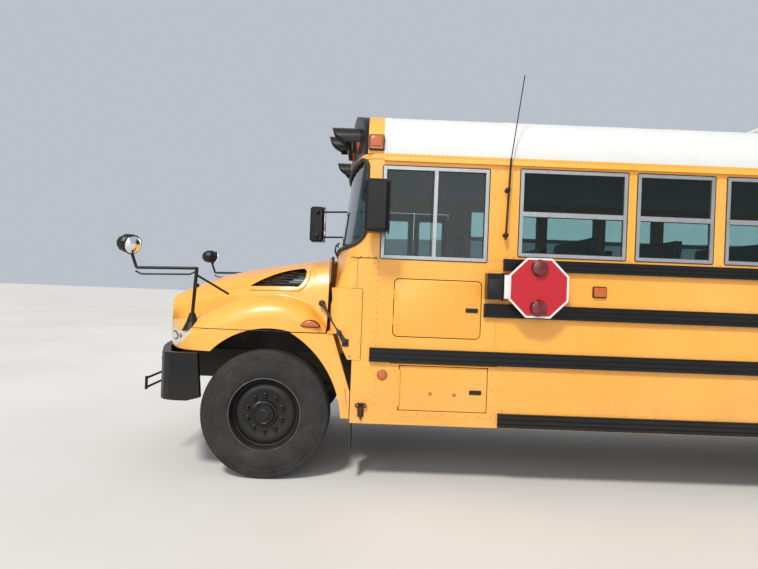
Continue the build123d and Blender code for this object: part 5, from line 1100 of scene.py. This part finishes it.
# Stop sign
SIGN_X, SIGN_Y, SIGN_Z, SIGN_T, SIGN_ACROSS = -2.085, 1.342, 1.597, 0.012, 0.457


def make_stop_sign():
    m, arm, t = Maker(), "stop_sign_arm", SIGN_T / 2
    r = SIGN_ACROSS / 2 / math.cos(math.pi / 8)
    outer, inner = (circle(SIGN_X, SIGN_Z, a, a, 8, 0.5) for a in (r * 0.999, r - 0.0165))
    for side, _ in SIDES:
        low, high = SIGN_Y + side * (t - 0.001), SIGN_Y + side * (t + 0.0009)
        ring = ((outer, low), (outer, high), (inner, high), (inner, low))
        m.rows([[(u, y, v) for u, v in outline] for outline, y in ring], closed_path=True)
    m.done("stop_sign_border", "red_paint", arm, "white_band", smooth=20)
    m, cover = Maker(), Maker()
    rim = ((0, 0.066), (0.004, 0.066), (0.008, 0.063), (0.026, 0.0585), (0.028, 0.057), (0.0275, 0.055),
           (0.004, 0.055))
    for dz in (0.152, -0.152):
        for side, _ in SIDES:
            m.lathe((SIGN_X, SIGN_Y + side * t, SIGN_Z + dz), (0, side, 0), rim, 44)
            at = (SIGN_X, SIGN_Y + side * (t + 0.0262), SIGN_Z + dz)
            lens_dome(cover, at, (0, side, 0), 0.0545, 0.009)
    m.done("stop_lamp_bezels", "red_paint", arm, "red_lens")
    cover.done("stop_lamps", "red_paint", arm, "red_lens", smooth=50)
    m = Maker().block(-1.868, -1.822, SIGN_Y + 0.0055, SIGN_Y + 0.010, SIGN_Z - 0.090, SIGN_Z + 0.090, 0.002)
    for dz in (-0.070, -0.025, 0.025, 0.070):
        m.hexagon((-1.857, SIGN_Y + 0.0098, SIGN_Z + dz), (0, 1, 0), 0.011, 0.005)
    m.done("stop_hinge_plate", "bare_steel", arm, "white_band")
    m = Maker()
    for dz in (-0.075, 0.075):
        for x in (-1.803, -1.718):
            m.hexagon((x, 1.3275, SIGN_Z + dz), (0, 1, 0), 0.012, 0.005)
    m.block(-1.815, -1.706, 1.3270, 1.3292, SIGN_Z - 0.055, SIGN_Z + 0.055, 0.003)
    m.done("stop_box_trim", "dark_plastic")


# Warning lamps at both ends
WARNING_Z, WARNING_Y = 2.770, (0.56, 0.86)


def visor_rows(y, sign):
    """A quarter-round hood over a lamp; sign is 1 at the front and -1 at the rear."""
    base, reach = (cap_x(y), 0.205) if sign > 0 else (REAR_X, 0.150)
    for k in range(25):
        a, edges = math.radians(-8 + 196 * k / 24), []
        for r in (0.1105, 0.1065):
            dy, dz = r * math.cos(a), r * math.sin(a)
            depth = min(1.0, max(0.0, (r - dz) / (r * 1.18)))
            out = reach * math.sqrt(max(0.0, 1 - depth ** 2)) + 0.012
            face = cap_x(y + dy) if sign > 0 else base
            edges.append([(x, y + dy, WARNING_Z + dz) for x in (face - 0.01 * sign, base + sign * out)])
        yield edges[0] + edges[1][::-1]


def make_warning_lamps():
    m, rims = Maker(), Maker()
    rim = ((-0.02, 0.0945), (0.012, 0.0945), (0.014, 0.091), (0.009, 0.086), (0, 0.086))
    for y, slot, glow in zip(WARNING_Y, ("amber_lens", "red_paint"), ("amber_lens", "red_lens")):
        covers = Maker()
        for sign, x, seat in ((1, cap_x(y), 0.034), (-1, REAR_X, 0.032)):
            m.rows(list(visor_rows(y, sign)))
            rims.lathe((x + sign * (seat - 0.004), y, WARNING_Z), (sign, 0, 0), rim, 44)
            lens_dome(covers, (x + sign * seat, y, WARNING_Z), (sign, 0, 0), 0.085, 0.022)
        covers.mirror().done(f"warning_{glow}es", slot, material=glow, smooth=60)
    m.mirror().done("lamp_visors", "black_paint", smooth=40)
    rims.mirror().done("warning_lamp_rims", "dark_plastic")


def make_headlamp_details():
    """Reflector bowls and the amber corner inside each headlamp, drawn on its face."""
    tree, x, z = tree_of("headlamps"), 0.815, 1.092
    bezel = overlay(tree, circle(x, z, 0.062, 0.038, 28), 0.0012)
    bezel.done("headlamp_bezels", "dark_plastic", "hood", smooth=60)
    bowl = overlay(tree, circle(x, z, 0.046, 0.029, 28), 0.0024, 0.004)
    bowl.done("headlamp_bowls", "lamp_lens", "hood", "mirror_face", smooth=60)
    corner = overlay(tree, circle(0.722, 1.104, 0.026, 0.020, 28), 0.0016, 0.003)
    corner.done("headlamp_corners", "amber_lens", "hood", smooth=60)


def make_panel_door():
    """The access door with its rounded corners, its hinges and the wall's corners round it."""
    x0, x1, z0, z1 = -1.672, -0.994, 1.181, 1.627
    m = Maker().prism(round_rect(x0, x1, z0, z1, 0.036, 6), "Y", 1.1992, 1.2188, 0.0015)
    for z in (z0 + 0.12, z1 - 0.12):
        m.lathe((x1 + 0.0005, 1.2235, z - 0.035), (0, 0, 1), ((0, 0.0045), (0.07, 0.0045)), 12)
        m.block(x1 - 0.030, x1, 1.2182, 1.2215, z - 0.030, z + 0.030, 0.001, 1)
    m.done("panel_door_skin", "yellow_paint", "side_flap", replaces=["panel_door"])
    m, gap, r = Maker(), 0.0065, 0.0425
    turns = [math.pi / 2 * n / 8 for n in range(9)]
    for x, sx in ((x0 - gap, 1), (x1 + gap, -1)):
        for z, sz in ((z0 - gap, 1), (z1 + gap, -1)):
            arc = [(x + sx * r * (1 - math.sin(a)), z + sz * r * (1 - math.cos(a))) for a in turns]
            m.prism([(x - sx * 0.001, z - sz * 0.001)] + arc, "Y", 1.1990, 1.2190)
    m.done("panel_door_corners", "yellow_paint")


# Mirrors
def make_crossover_mirrors():
    at, along = Vector((1.125, 1.120, 1.830)), Vector((-0.78, 0.52, -0.24))
    bowl = ((0.040, 0.070), (0.052, 0.072), (0.064, 0.068), (0.080, 0.050), (0.092, 0.026), (0.096, 0.003))
    m = Maker().lathe(at, along, bowl, 40).mirror()
    m.done("crossover_glass", "mirror_shell", "hood", "mirror_face", smooth=50)
    along.normalize()
    u = along.cross(Vector((0, 0, 1))).normalized()
    m = Maker().loop(hoop(at + along * 0.050, u, along.cross(u), 0.073, 32, 0.0), 0.006)
    m.tube([(0.592, 1.092, 1.628), (0.64, 1.1, 1.602), (1.02, 1.117, 1.59), (1.066, 1.12, 1.612)], 0.007, 8)
    m.tube([(0.590, 1.088, 1.500), (0.590, 1.088, 1.530)], 0.024, 12)
    m.mirror().done("crossover_rims", "mirror_shell", "hood", smooth=50)


def make_mirrors():
    faces, rims = Maker(), Maker()
    boss = ((0, 0.026), (0.010, 0.026), (0.014, 0.018), (0.022, 0.018), (0.026, 0.012))
    for side, rear, front, z0, z1 in ((1, -0.922, -0.742, 1.967, 2.360), (-1, -0.190, -0.020, 2.070, 2.500)):
        cut = z0 + (z1 - z0) * 0.36
        (y0, y1), (e0, e1) = (sorted((side * a, side * b)) for a, b in ((1.318, 1.474), (1.303, 1.487)))
        for low, high in ((z0 + 0.018, cut - 0.006), (cut + 0.006, z1 - 0.018)):
            faces.prism(round_rect(y0, y1, low, high, 0.016, 5), "X", rear - 0.003, rear + 0.0012, 0.001)
        edge = round_rect(e0, e1, z0 + 0.003, z1 - 0.003, 0.022, 5)
        rims.loop([(rear - 0.003, y, z) for y, z in edge], 0.006)
        for z in (z0 + 0.07, z1 - 0.07):
            rims.lathe((front - 0.09, side * 1.302, z), (0, -side, 0), boss, 20)
    faces.done("mirror_glass", "mirror_shell", material="mirror_face")
    rims.done("mirror_rims", "mirror_shell", smooth=50)


# Side windows: rear and front edge, low and high edge, and the height of the sash's middle bar
WINDOW_LOW, WINDOW_HIGH, WINDOW_BAR, BAY = 1.840, 2.520, 2.154, 0.705
DRIVER_WINDOW = (-1.703, -0.875, 1.785, 2.507)
BAYS = [(-2.790, -1.950)] + [(-2.870 - BAY * n - 0.606, -2.870 - BAY * n) for n in range(9)]
BAYS += [(REAR_X + 0.115, -2.870 - BAY * 9)]


def seal_round(m, side, rear, front, low, high):
    edge = round_rect(rear - 0.004, front + 0.004, low - 0.004, high + 0.004, 0.012, 3)
    m.loop([(x, side * (BODY_Y + 0.0015), z) for x, z in edge], 0.0045, 6)


def pane_bead(m, side, x0, x1, z0, z1):
    corners = ((x0, z0), (x1, z0), (x1, z1), (x0, z1))
    m.loop([(x, side * 1.2055, z) for x, z in corners], 0.0042, 6)


def make_window_seals():
    seals, catches = Maker(), Maker()
    rear, front, low, high = DRIVER_WINDOW
    seal_round(seals, 1, rear, front, low, high)
    pane_bead(seals, 1, rear + 0.030, -1.300, low + 0.030, high - 0.030)
    pane_bead(seals, 1, -1.262, front - 0.030, low + 0.030, high - 0.030)
    for side, _ in SIDES:
        for rear, front in BAYS:
            seal_round(seals, side, rear, front, WINDOW_LOW, WINDOW_HIGH)
            for z0, z1 in ((WINDOW_LOW + 0.028, WINDOW_BAR - 0.002), (WINDOW_BAR + 0.038, WINDOW_HIGH - 0.028)):
                pane_bead(seals, side, rear + 0.028, front - 0.028, z0, z1)
            for x in (rear + 0.075, front - 0.075):
                catches.block(x - 0.022, x + 0.022, side * 1.192 - 0.006, side * 1.192 + 0.006,
                              WINDOW_BAR + 0.008, WINDOW_BAR + 0.026, 0.003)
    seals.done("window_seals", "flap_rubber")
    catches.done("window_catches", "sash_aluminium")


# Roof
ROOF_HIGH, CROWN_R, EAVE_R, EAVE_Y = 3.108, 3.0, 0.35, 0.869
ROOF_SEAMS = [-0.905, -1.905] + [-1.905 - 1.41 * n for n in range(1, 6)] + [REAR_X + 0.045]


def roof_edge(steps, out):
    """The roof's outline from the left side over the crown, as (y, z)."""
    hub = ROOF_HIGH - CROWN_R
    eave_z = hub + math.sqrt((CROWN_R - EAVE_R) ** 2 - EAVE_Y ** 2)
    turn = math.atan2(eave_z - hub, EAVE_Y)
    half = []
    for y, z, r, first, last in ((EAVE_Y, eave_z, EAVE_R, 0.0, turn), (0.0, hub, CROWN_R, turn, math.pi / 2)):
        turns = [first + (last - first) * n / steps for n in range(first > 0, steps + 1)]
        half += [(y + (r + out) * math.cos(a), z + (r + out) * math.sin(a)) for a in turns]
    return half + [(-y, z) for y, z in reversed(half[:-1])]


def make_roof_seams():
    heads, strips = Maker(), Maker()
    for x in ROOF_SEAMS:
        a, b, rows = x - 0.022, x + 0.022, []
        for (y0, z0), (y1, z1) in zip(roof_edge(12, 0.0002), roof_edge(12, 0.0016)):
            rows.append([(a, y0, z0 - 0.001), (b, y0, z0 - 0.001), (b, y1, z1), (a, y1, z1)])
        strips.rows(rows)
        for y, z in roof_edge(22, 0.0014):
            up = (0, y * 0.9 if abs(y) > 0.87 else y * 0.3, 1 if abs(y) < 1.1 else 0.5)
            for dx in (-0.011, 0.011) if z > 2.63 else ():
                heads.dome((x + dx, y, z), up, 0.006, 0.003, 6)
    strips.done("roof_seams", "white_paint", smooth=40)
    heads.done("roof_rivets", "white_paint")


def make_hatch_details():
    for x, word in ((-4.720, "front"), (-7.900, "rear")):
        m = Maker()
        for y in (n * 0.075 for n in range(-3, 4)):
            m.block(x - 0.26, x + 0.26, y - 0.012, y + 0.012, 3.1905, 3.1965, 0.004)
        m.done(f"hatch_ribs_{word}", "white_paint", f"{word}_hatch")
        m = Maker()
        for y in (-0.365, 0.365):
            z = ROOF_HIGH - y * y / 6 + 0.0005
            m.rivets((x - 0.28, y, z), (x + 0.28, y, z), 0.112, (0, y * 0.3, 1), 0.006, 0.003)
        m.done(f"hatch_screws_{word}", "white_paint")


def make_cap_details():
    """Blank sign panels between the warning lamps, and the small lamps above them."""
    half, low, high = 0.43, 2.672, 2.868
    m, widths = Maker(), [half * (1 - n / 12) for n in range(25)]
    m.rows([[(cap_x(y) + out, y, z) for out, z in ((-0.004, low), (-0.004, high), (0.006, high), (0.006, low))]
            for y in widths])
    m.prism(round_rect(-half, half, low, high, 0.012), "X", REAR_X - 0.006, REAR_X + 0.002)
    m.done("blank_signs", "yellow_paint", smooth=30)
    front, rear = Maker(), Maker()
    for y in (-0.19, 0.0, 0.19):
        for m, start, sign, z in ((front, cap_x(y), 1, 2.965), (rear, REAR_X, -1, 2.945)):
            outline = round_rect(y - 0.052, y + 0.052, z - 0.020, z + 0.020, 0.010)
            m.prism(outline, "X", *sorted((start - 0.03 * sign, start + 0.024 * sign)), 0.006)
    front.done("identification_lamps_front", "amber_lens", smooth=50)
    rear.done("identification_lamps_rear", "red_paint", material="red_lens", smooth=50)


# Rear wall
TAIL_LAMPS = (
    # name, slot, material, width and height of the middle, radius
    ("rear_turn_lenses", "amber_lens", "amber_lens", 1.010, 1.600, 0.090),
    ("stop_tail_lenses", "red_paint", "red_lens", 0.800, 1.600, 0.090),
    ("reversing_lenses", "lamp_lens", "lamp_lens", 1.060, 1.330, 0.052),
)


def make_tail():
    x, back = REAR_X, (-1, 0, 0)
    rims = Maker()
    for name, slot, material, y, z, r in TAIL_LAMPS:
        steps = ((-0.024, 0.014), (0.006, 0.014), (0.014, 0.010), (0.016, 0.002), (0.010, -0.003),
                 (-0.005, -0.003))
        rims.lathe((x - 0.020, y, z), back, [(d, r + wider) for d, wider in steps], 44)
        m = Maker()
        lens_dome(m, (x - 0.030, y, z), back, r - 0.004, 0.020)
        m.mirror().done(name, slot, material=material, smooth=60)
    rims.mirror().done("tail_lamp_rims", "flap_rubber", smooth=50)
    m = Maker()
    for side in (-1, 1):
        edge = round_rect(*sorted((side * 0.555, side * 1.065)), 1.795, 2.445, 0.06, 5)
        m.loop([(x - 0.002, y, z) for y, z in edge], 0.011)
    m.done("rear_pane_seals", "flap_rubber")
    Maker().prism(round_rect(-0.99, -0.68, 1.10, 1.26, 0.008), "X", x - 0.004, x + 0.001).done(
        "blank_plate", "yellow_paint")
    m, head = Maker(), (0.006, 0.003)
    for side in (-1, 1):
        for y in (side * 0.500, side * 1.175):
            m.rivets((x, y, 1.05), (x, y, 2.48), 0.13, back, *head)
        for z in (1.715, 2.540):
            m.rivets((x, side * 0.54, z), (x, side * 1.14, z), 0.10, back, *head)
    m.done("rear_rivets", "yellow_paint", material="rivet_and_crease_shade_yellow")
    m = Maker()
    for y in (-0.9, -0.3, 0.3, 0.9):
        m.lathe((-9.850, y, 0.74), back, ((-0.001, 0.020), (0.004, 0.020), (0.010, 0.014), (0.012, 0.002)), 20)
    m.done("rear_bumper_bolts", "bare_steel")
    disc = ((-0.001, 0.036), (0.006, 0.036), (0.008, 0.033), (0.009, 0.002))
    m = Maker().lathe((x, 1.02, 1.02), back, disc, 30).mirror()
    m.done("rear_reflectors", "red_paint", material="red_lens")


def make_emergency_door():
    x, body = REAR_X, "emergency_door"
    m = Maker().loop([(x - 0.036, y, z) for y, z in round_rect(-0.400, 0.434, 1.016, 2.434, 0.03)], 0.007)
    m.loop([(x - 0.036, y, z) for y, z in round_rect(-0.345, 0.345, 1.775, 2.345, 0.05, 5)], 0.011)
    m.done("rear_door_seals", "flap_rubber", body)
    m = Maker().prism(round_rect(0.290, 0.400, 1.560, 1.640, 0.012), "X", x - 0.046, x - 0.033, 0.003)
    grip = ((0.040, 0.375, 1.600), (0.075, 0.375, 1.600), (0.082, 0.360, 1.600), (0.082, 0.240, 1.592))
    m.tube([(x - out, y, z) for out, y, z in grip], 0.010)
    m.done("rear_door_handle", "bare_steel", body)
    m = Maker()
    for y in (-0.405, 0.405):
        m.rivets((x - 0.034, y, 1.075), (x - 0.034, y, 1.755), 0.085, (-1, 0, 0), 0.006, 0.003)
    m.done("rear_door_rivets", "yellow_paint", body, "rivet_and_crease_shade_yellow")


# Entrance, grille, bumper, antenna and frame
def make_entry_details():
    y = -1.230
    leaves = (("front", -1.280, -1.220, -0.940, -1.274), ("rear", -1.697, -1.630, -1.350, -1.296))
    for word, rear, g0, g1, edge in leaves:
        body = f"entrance_leaf_{word}"
        m = Maker()
        for z0, z1 in ((0.550, 1.250), (1.350, 2.350)):
            ring = round_rect(g0 - 0.006, g1 + 0.006, z0 - 0.006, z1 + 0.006, 0.03, 5)
            m.loop([(x, y + 0.002, z) for x, z in ring], 0.010)
        m.tube([(edge, y + 0.018, 0.432), (edge, y + 0.018, 2.428)], 0.009, 8)
        m.done(f"entry_seals_{word}", "flap_rubber", body)
        m = Maker()
        for z in (0.485, 0.505, 1.300, 2.395):
            start, end = (rear + 0.06, y - 0.0002, z), (rear + 0.348, y - 0.0002, z)
            m.rivets(start, end, 0.072, (0, -1, 0), 0.005, 0.0026)
        m.done(f"entry_rivets_{word}", "black_paint", body)
    rail = ((-1.10, 1.20), (-1.05, 1.23), (-1.05, 1.72), (-1.10, 1.75))
    Maker().tube([(-0.905, y, z) for y, z in rail], 0.014).done("entry_grab_rail", "bare_steel")
    Maker().block(-1.66, -0.91, -1.170, -1.150, 0.425, 0.432, 0.002, 1).done("step_nosing", "bare_steel")


def make_front_screws():
    m = Maker()
    for n in range(-2, 3):
        for z in (1.086, 1.310):
            m.dome((1.0305 - 0.01 * abs(n), 0.2 * n, z), (1, 0, 0))
    m.done("grille_screws", "dark_plastic", "hood")
    m, tree = Maker(), tree_of("front_bumper")
    for y in (0.30, 0.62, 0.95):
        at, out, *_ = tree.ray_cast(Vector((2.0, y, 0.905)), Vector((-1, 0, 0)))
        m.lathe(at, out, ((-0.004, 0.014), (0.004, 0.014), (0.009, 0.010), (0.011, 0.002)), 16)
    m.mirror().done("front_bumper_bolts", "bare_steel")


def make_antenna_details():
    insulator = ((-0.001, 0.016), (0.004, 0.016), (0.006, 0.008), (0.030, 0.008), (0.034, 0.017), (0.046, 0.021),
                 (0.058, 0.019), (0.066, 0.011), (0.069, 0.002))
    m = Maker()
    for x, z in ((-1.837, 1.998), (-1.839, 2.346)):
        m.lathe((x, BODY_Y, z), (0, 1, 0), insulator, 20)
    m.done("antenna_insulators", "dark_plastic", smooth=50)


def make_frame_rivets():
    m = Maker()
    for n in range(60):
        for z in (0.708, 0.907):
            m.dome((0.70 - 0.17 * n, 0.4312, z), (0, 1, 0), 0.009, 0.006, 6)
    m.mirror().done("frame_rivets", "frame_paint")


# Seats
SEAT_TOP, SEAT_T, SEAT_DEPTH, BACK_T, BACK_HIGH, BACK_LEAN = 1.500, 0.130, 0.390, 0.084, 0.670, -0.068
BENCH_W, DRIVER_W = 0.980, 0.480
PAD_INSET, PAD_RISE = 0.009, 0.016      # how far a pad starts inside its size, and how far it may swell
CLOTH = {
    "quality": 5, "mass": 0.3, "tension_stiffness": 18, "compression_stiffness": 18, "shear_stiffness": 6,
    "bending_stiffness": 0.6, "use_pressure": True, "uniform_pressure_force": 4.0, "vertex_group_mass": "board",
}


def blown(ob, held_below):
    """Fill a closed skin like a cushion by cloth simulation, then keep the result."""
    scene = bpy.context.scene
    start = [v.co.copy() for v in ob.data.vertices]
    board = [v.index for v in ob.data.vertices if v.co.z < held_below]
    ob.vertex_groups.new(name="board").add(board, 1.0, "REPLACE")
    mod = ob.modifiers.new("filling", "CLOTH")
    for key, value in CLOTH.items():
        setattr(mod.settings, key, value)
    mod.settings.effector_weights.gravity = 0.0
    mod.collision_settings.use_collision = False
    mod.collision_settings.use_self_collision = False
    mod.point_cache.frame_start, mod.point_cache.frame_end = 1, 20
    for frame_no in range(1, 21):
        scene.frame_set(frame_no)
    baked(ob)
    scene.frame_set(1)
    for v, old in zip(ob.data.vertices, start):
        move = v.co - old
        if move.length > PAD_RISE:
            v.co = old + move.normalized() * PAD_RISE


def welt_lines(ob, rings):
    """Rings of points drawn onto a pad's skin."""
    tree = BVHTree.FromPolygons([v.co for v in ob.data.vertices], [tuple(p.vertices) for p in ob.data.polygons])
    for ring in rings:
        dense = []
        for a, b in zip(ring, ring[1:] + ring[:1]):
            count = max(1, round((b - a).length / 0.03))
            dense += [a.lerp(b, n / count) for n in range(count)]
        yield [tree.find_nearest(p)[0] for p in dense]


def sewn(ob, seams):
    """Pull a pad's skin in beside each welt, as a sewn channel."""
    points = [p for seam in seams for p in seam]
    near = KDTree(len(points))
    for n, p in enumerate(points):
        near.insert(p, n)
    near.balance()
    for v, normal in [(v, v.normal.copy()) for v in ob.data.vertices]:
        v.co -= normal * 0.006 * math.exp(-(near.find(v.co)[2] / 0.014) ** 2)


def pad(name, depth, width, height, lean=0.0):
    """A seat's cushion, or its back where it leans: swollen, sewn and edged with welts."""
    d, w, h = depth / 2 - PAD_INSET, width / 2 - PAD_INSET, height / 2 - PAD_INSET
    ob = solid(Maker().block(-d, d, -w, w, -h, h, 0.020, 3), name)
    mod = ob.modifiers.new("skin", "REMESH")
    mod.mode, mod.voxel_size = "VOXEL", 0.011
    baked(ob)
    blown(ob, (0.030 if lean else 0.012) - h)
    if lean:
        face = round_rect(-w - 0.02, w + 0.02, -h - 0.02, h + 0.02, 0.045, 5)
        rings = [[Vector((x, y, z)) for y, z in face] for x in (d - 0.010, -d + 0.010)]
    else:
        face = round_rect(-d - 0.02, d + 0.02, -w - 0.02, w + 0.02, 0.045, 5)
        rings = [[Vector((x, y, z)) for x, y in face] for z in (h - 0.022, -h + 0.016)]
    seams = list(welt_lines(ob, rings))
    sewn(ob, seams)
    ob.modifiers.new("fewer", "DECIMATE").ratio = 0.20
    baked(ob)
    welt = Maker()
    for seam in seams:
        welt.loop(seam, 0.0038, 6)
    cord, bm = solid(welt, "welt"), bmesh.new()
    for part in (ob, cord):
        bm.from_mesh(part.data)
        bpy.data.objects.remove(part)
    for v in bm.verts:
        v.co.x += lean * (v.co.z + height / 2) / height
    me = bpy.data.meshes.new(name)
    bm.to_mesh(me)
    bm.free()
    finish(me, "seat_vinyl", 60)
    return me


def make_seats():
    forms = {}
    for kind, width in (("bench", BENCH_W), ("driver", DRIVER_W)):
        forms[kind, "bottom"] = pad(f"{kind}_bottom", SEAT_DEPTH, width, SEAT_T)
        forms[kind, "back"] = pad(f"{kind}_back", BACK_T, width, BACK_HIGH, BACK_LEAN)
    places = [("driver", -1.255, 0.590)]
    places += [("bench", -2.275 - 0.680 * n, y) for n in range(11) for y in (0.670, -0.670)]
    parts = (("bottom", 0.0, SEAT_TOP - SEAT_T / 2), ("back", -0.237, 1.370 + BACK_HIGH / 2))
    for n, (kind, x, y) in enumerate(places):
        for part, dx, z in parts:
            ob = bpy.data.objects.new(f"seat_{part}_{n:02d}", forms[kind, part].copy())
            bpy.context.collection.objects.link(ob)
            ob.location = (x + dx + MID, y, z)
            settle(ob, "seat_vinyl", "bus", [f"seat_{part}s"] if n == 0 else ())


def dress_nodes():
    """Give every CAD node that stays the material of its slot."""
    slots = {row["node"]: row["material_slot"] for row in frame["record"]["subparts"]}
    for name, ob in frame["nodes"].items():
        ob.data.materials.clear()
        ob.data.materials.append(M["roof_paint" if name == "roof" else slots[name]])


camera()
studio()
dress_nodes()
for make in (
    make_tyres, make_wheels, make_hood, make_windshield_trim, make_drip_rails, make_side_walls, make_cowl_trim,
    make_flap_trim, make_markers, make_hood_seams, make_hood_straps, make_skirt_latches, make_stop_sign,
    make_warning_lamps, make_headlamp_details, make_panel_door, make_crossover_mirrors, make_mirrors,
    make_window_seals, make_roof_seams, make_cap_details, make_tail, make_emergency_door, make_hatch_details,
    make_entry_details, make_front_screws, make_antenna_details, make_frame_rivets, make_seats,
):
    make()
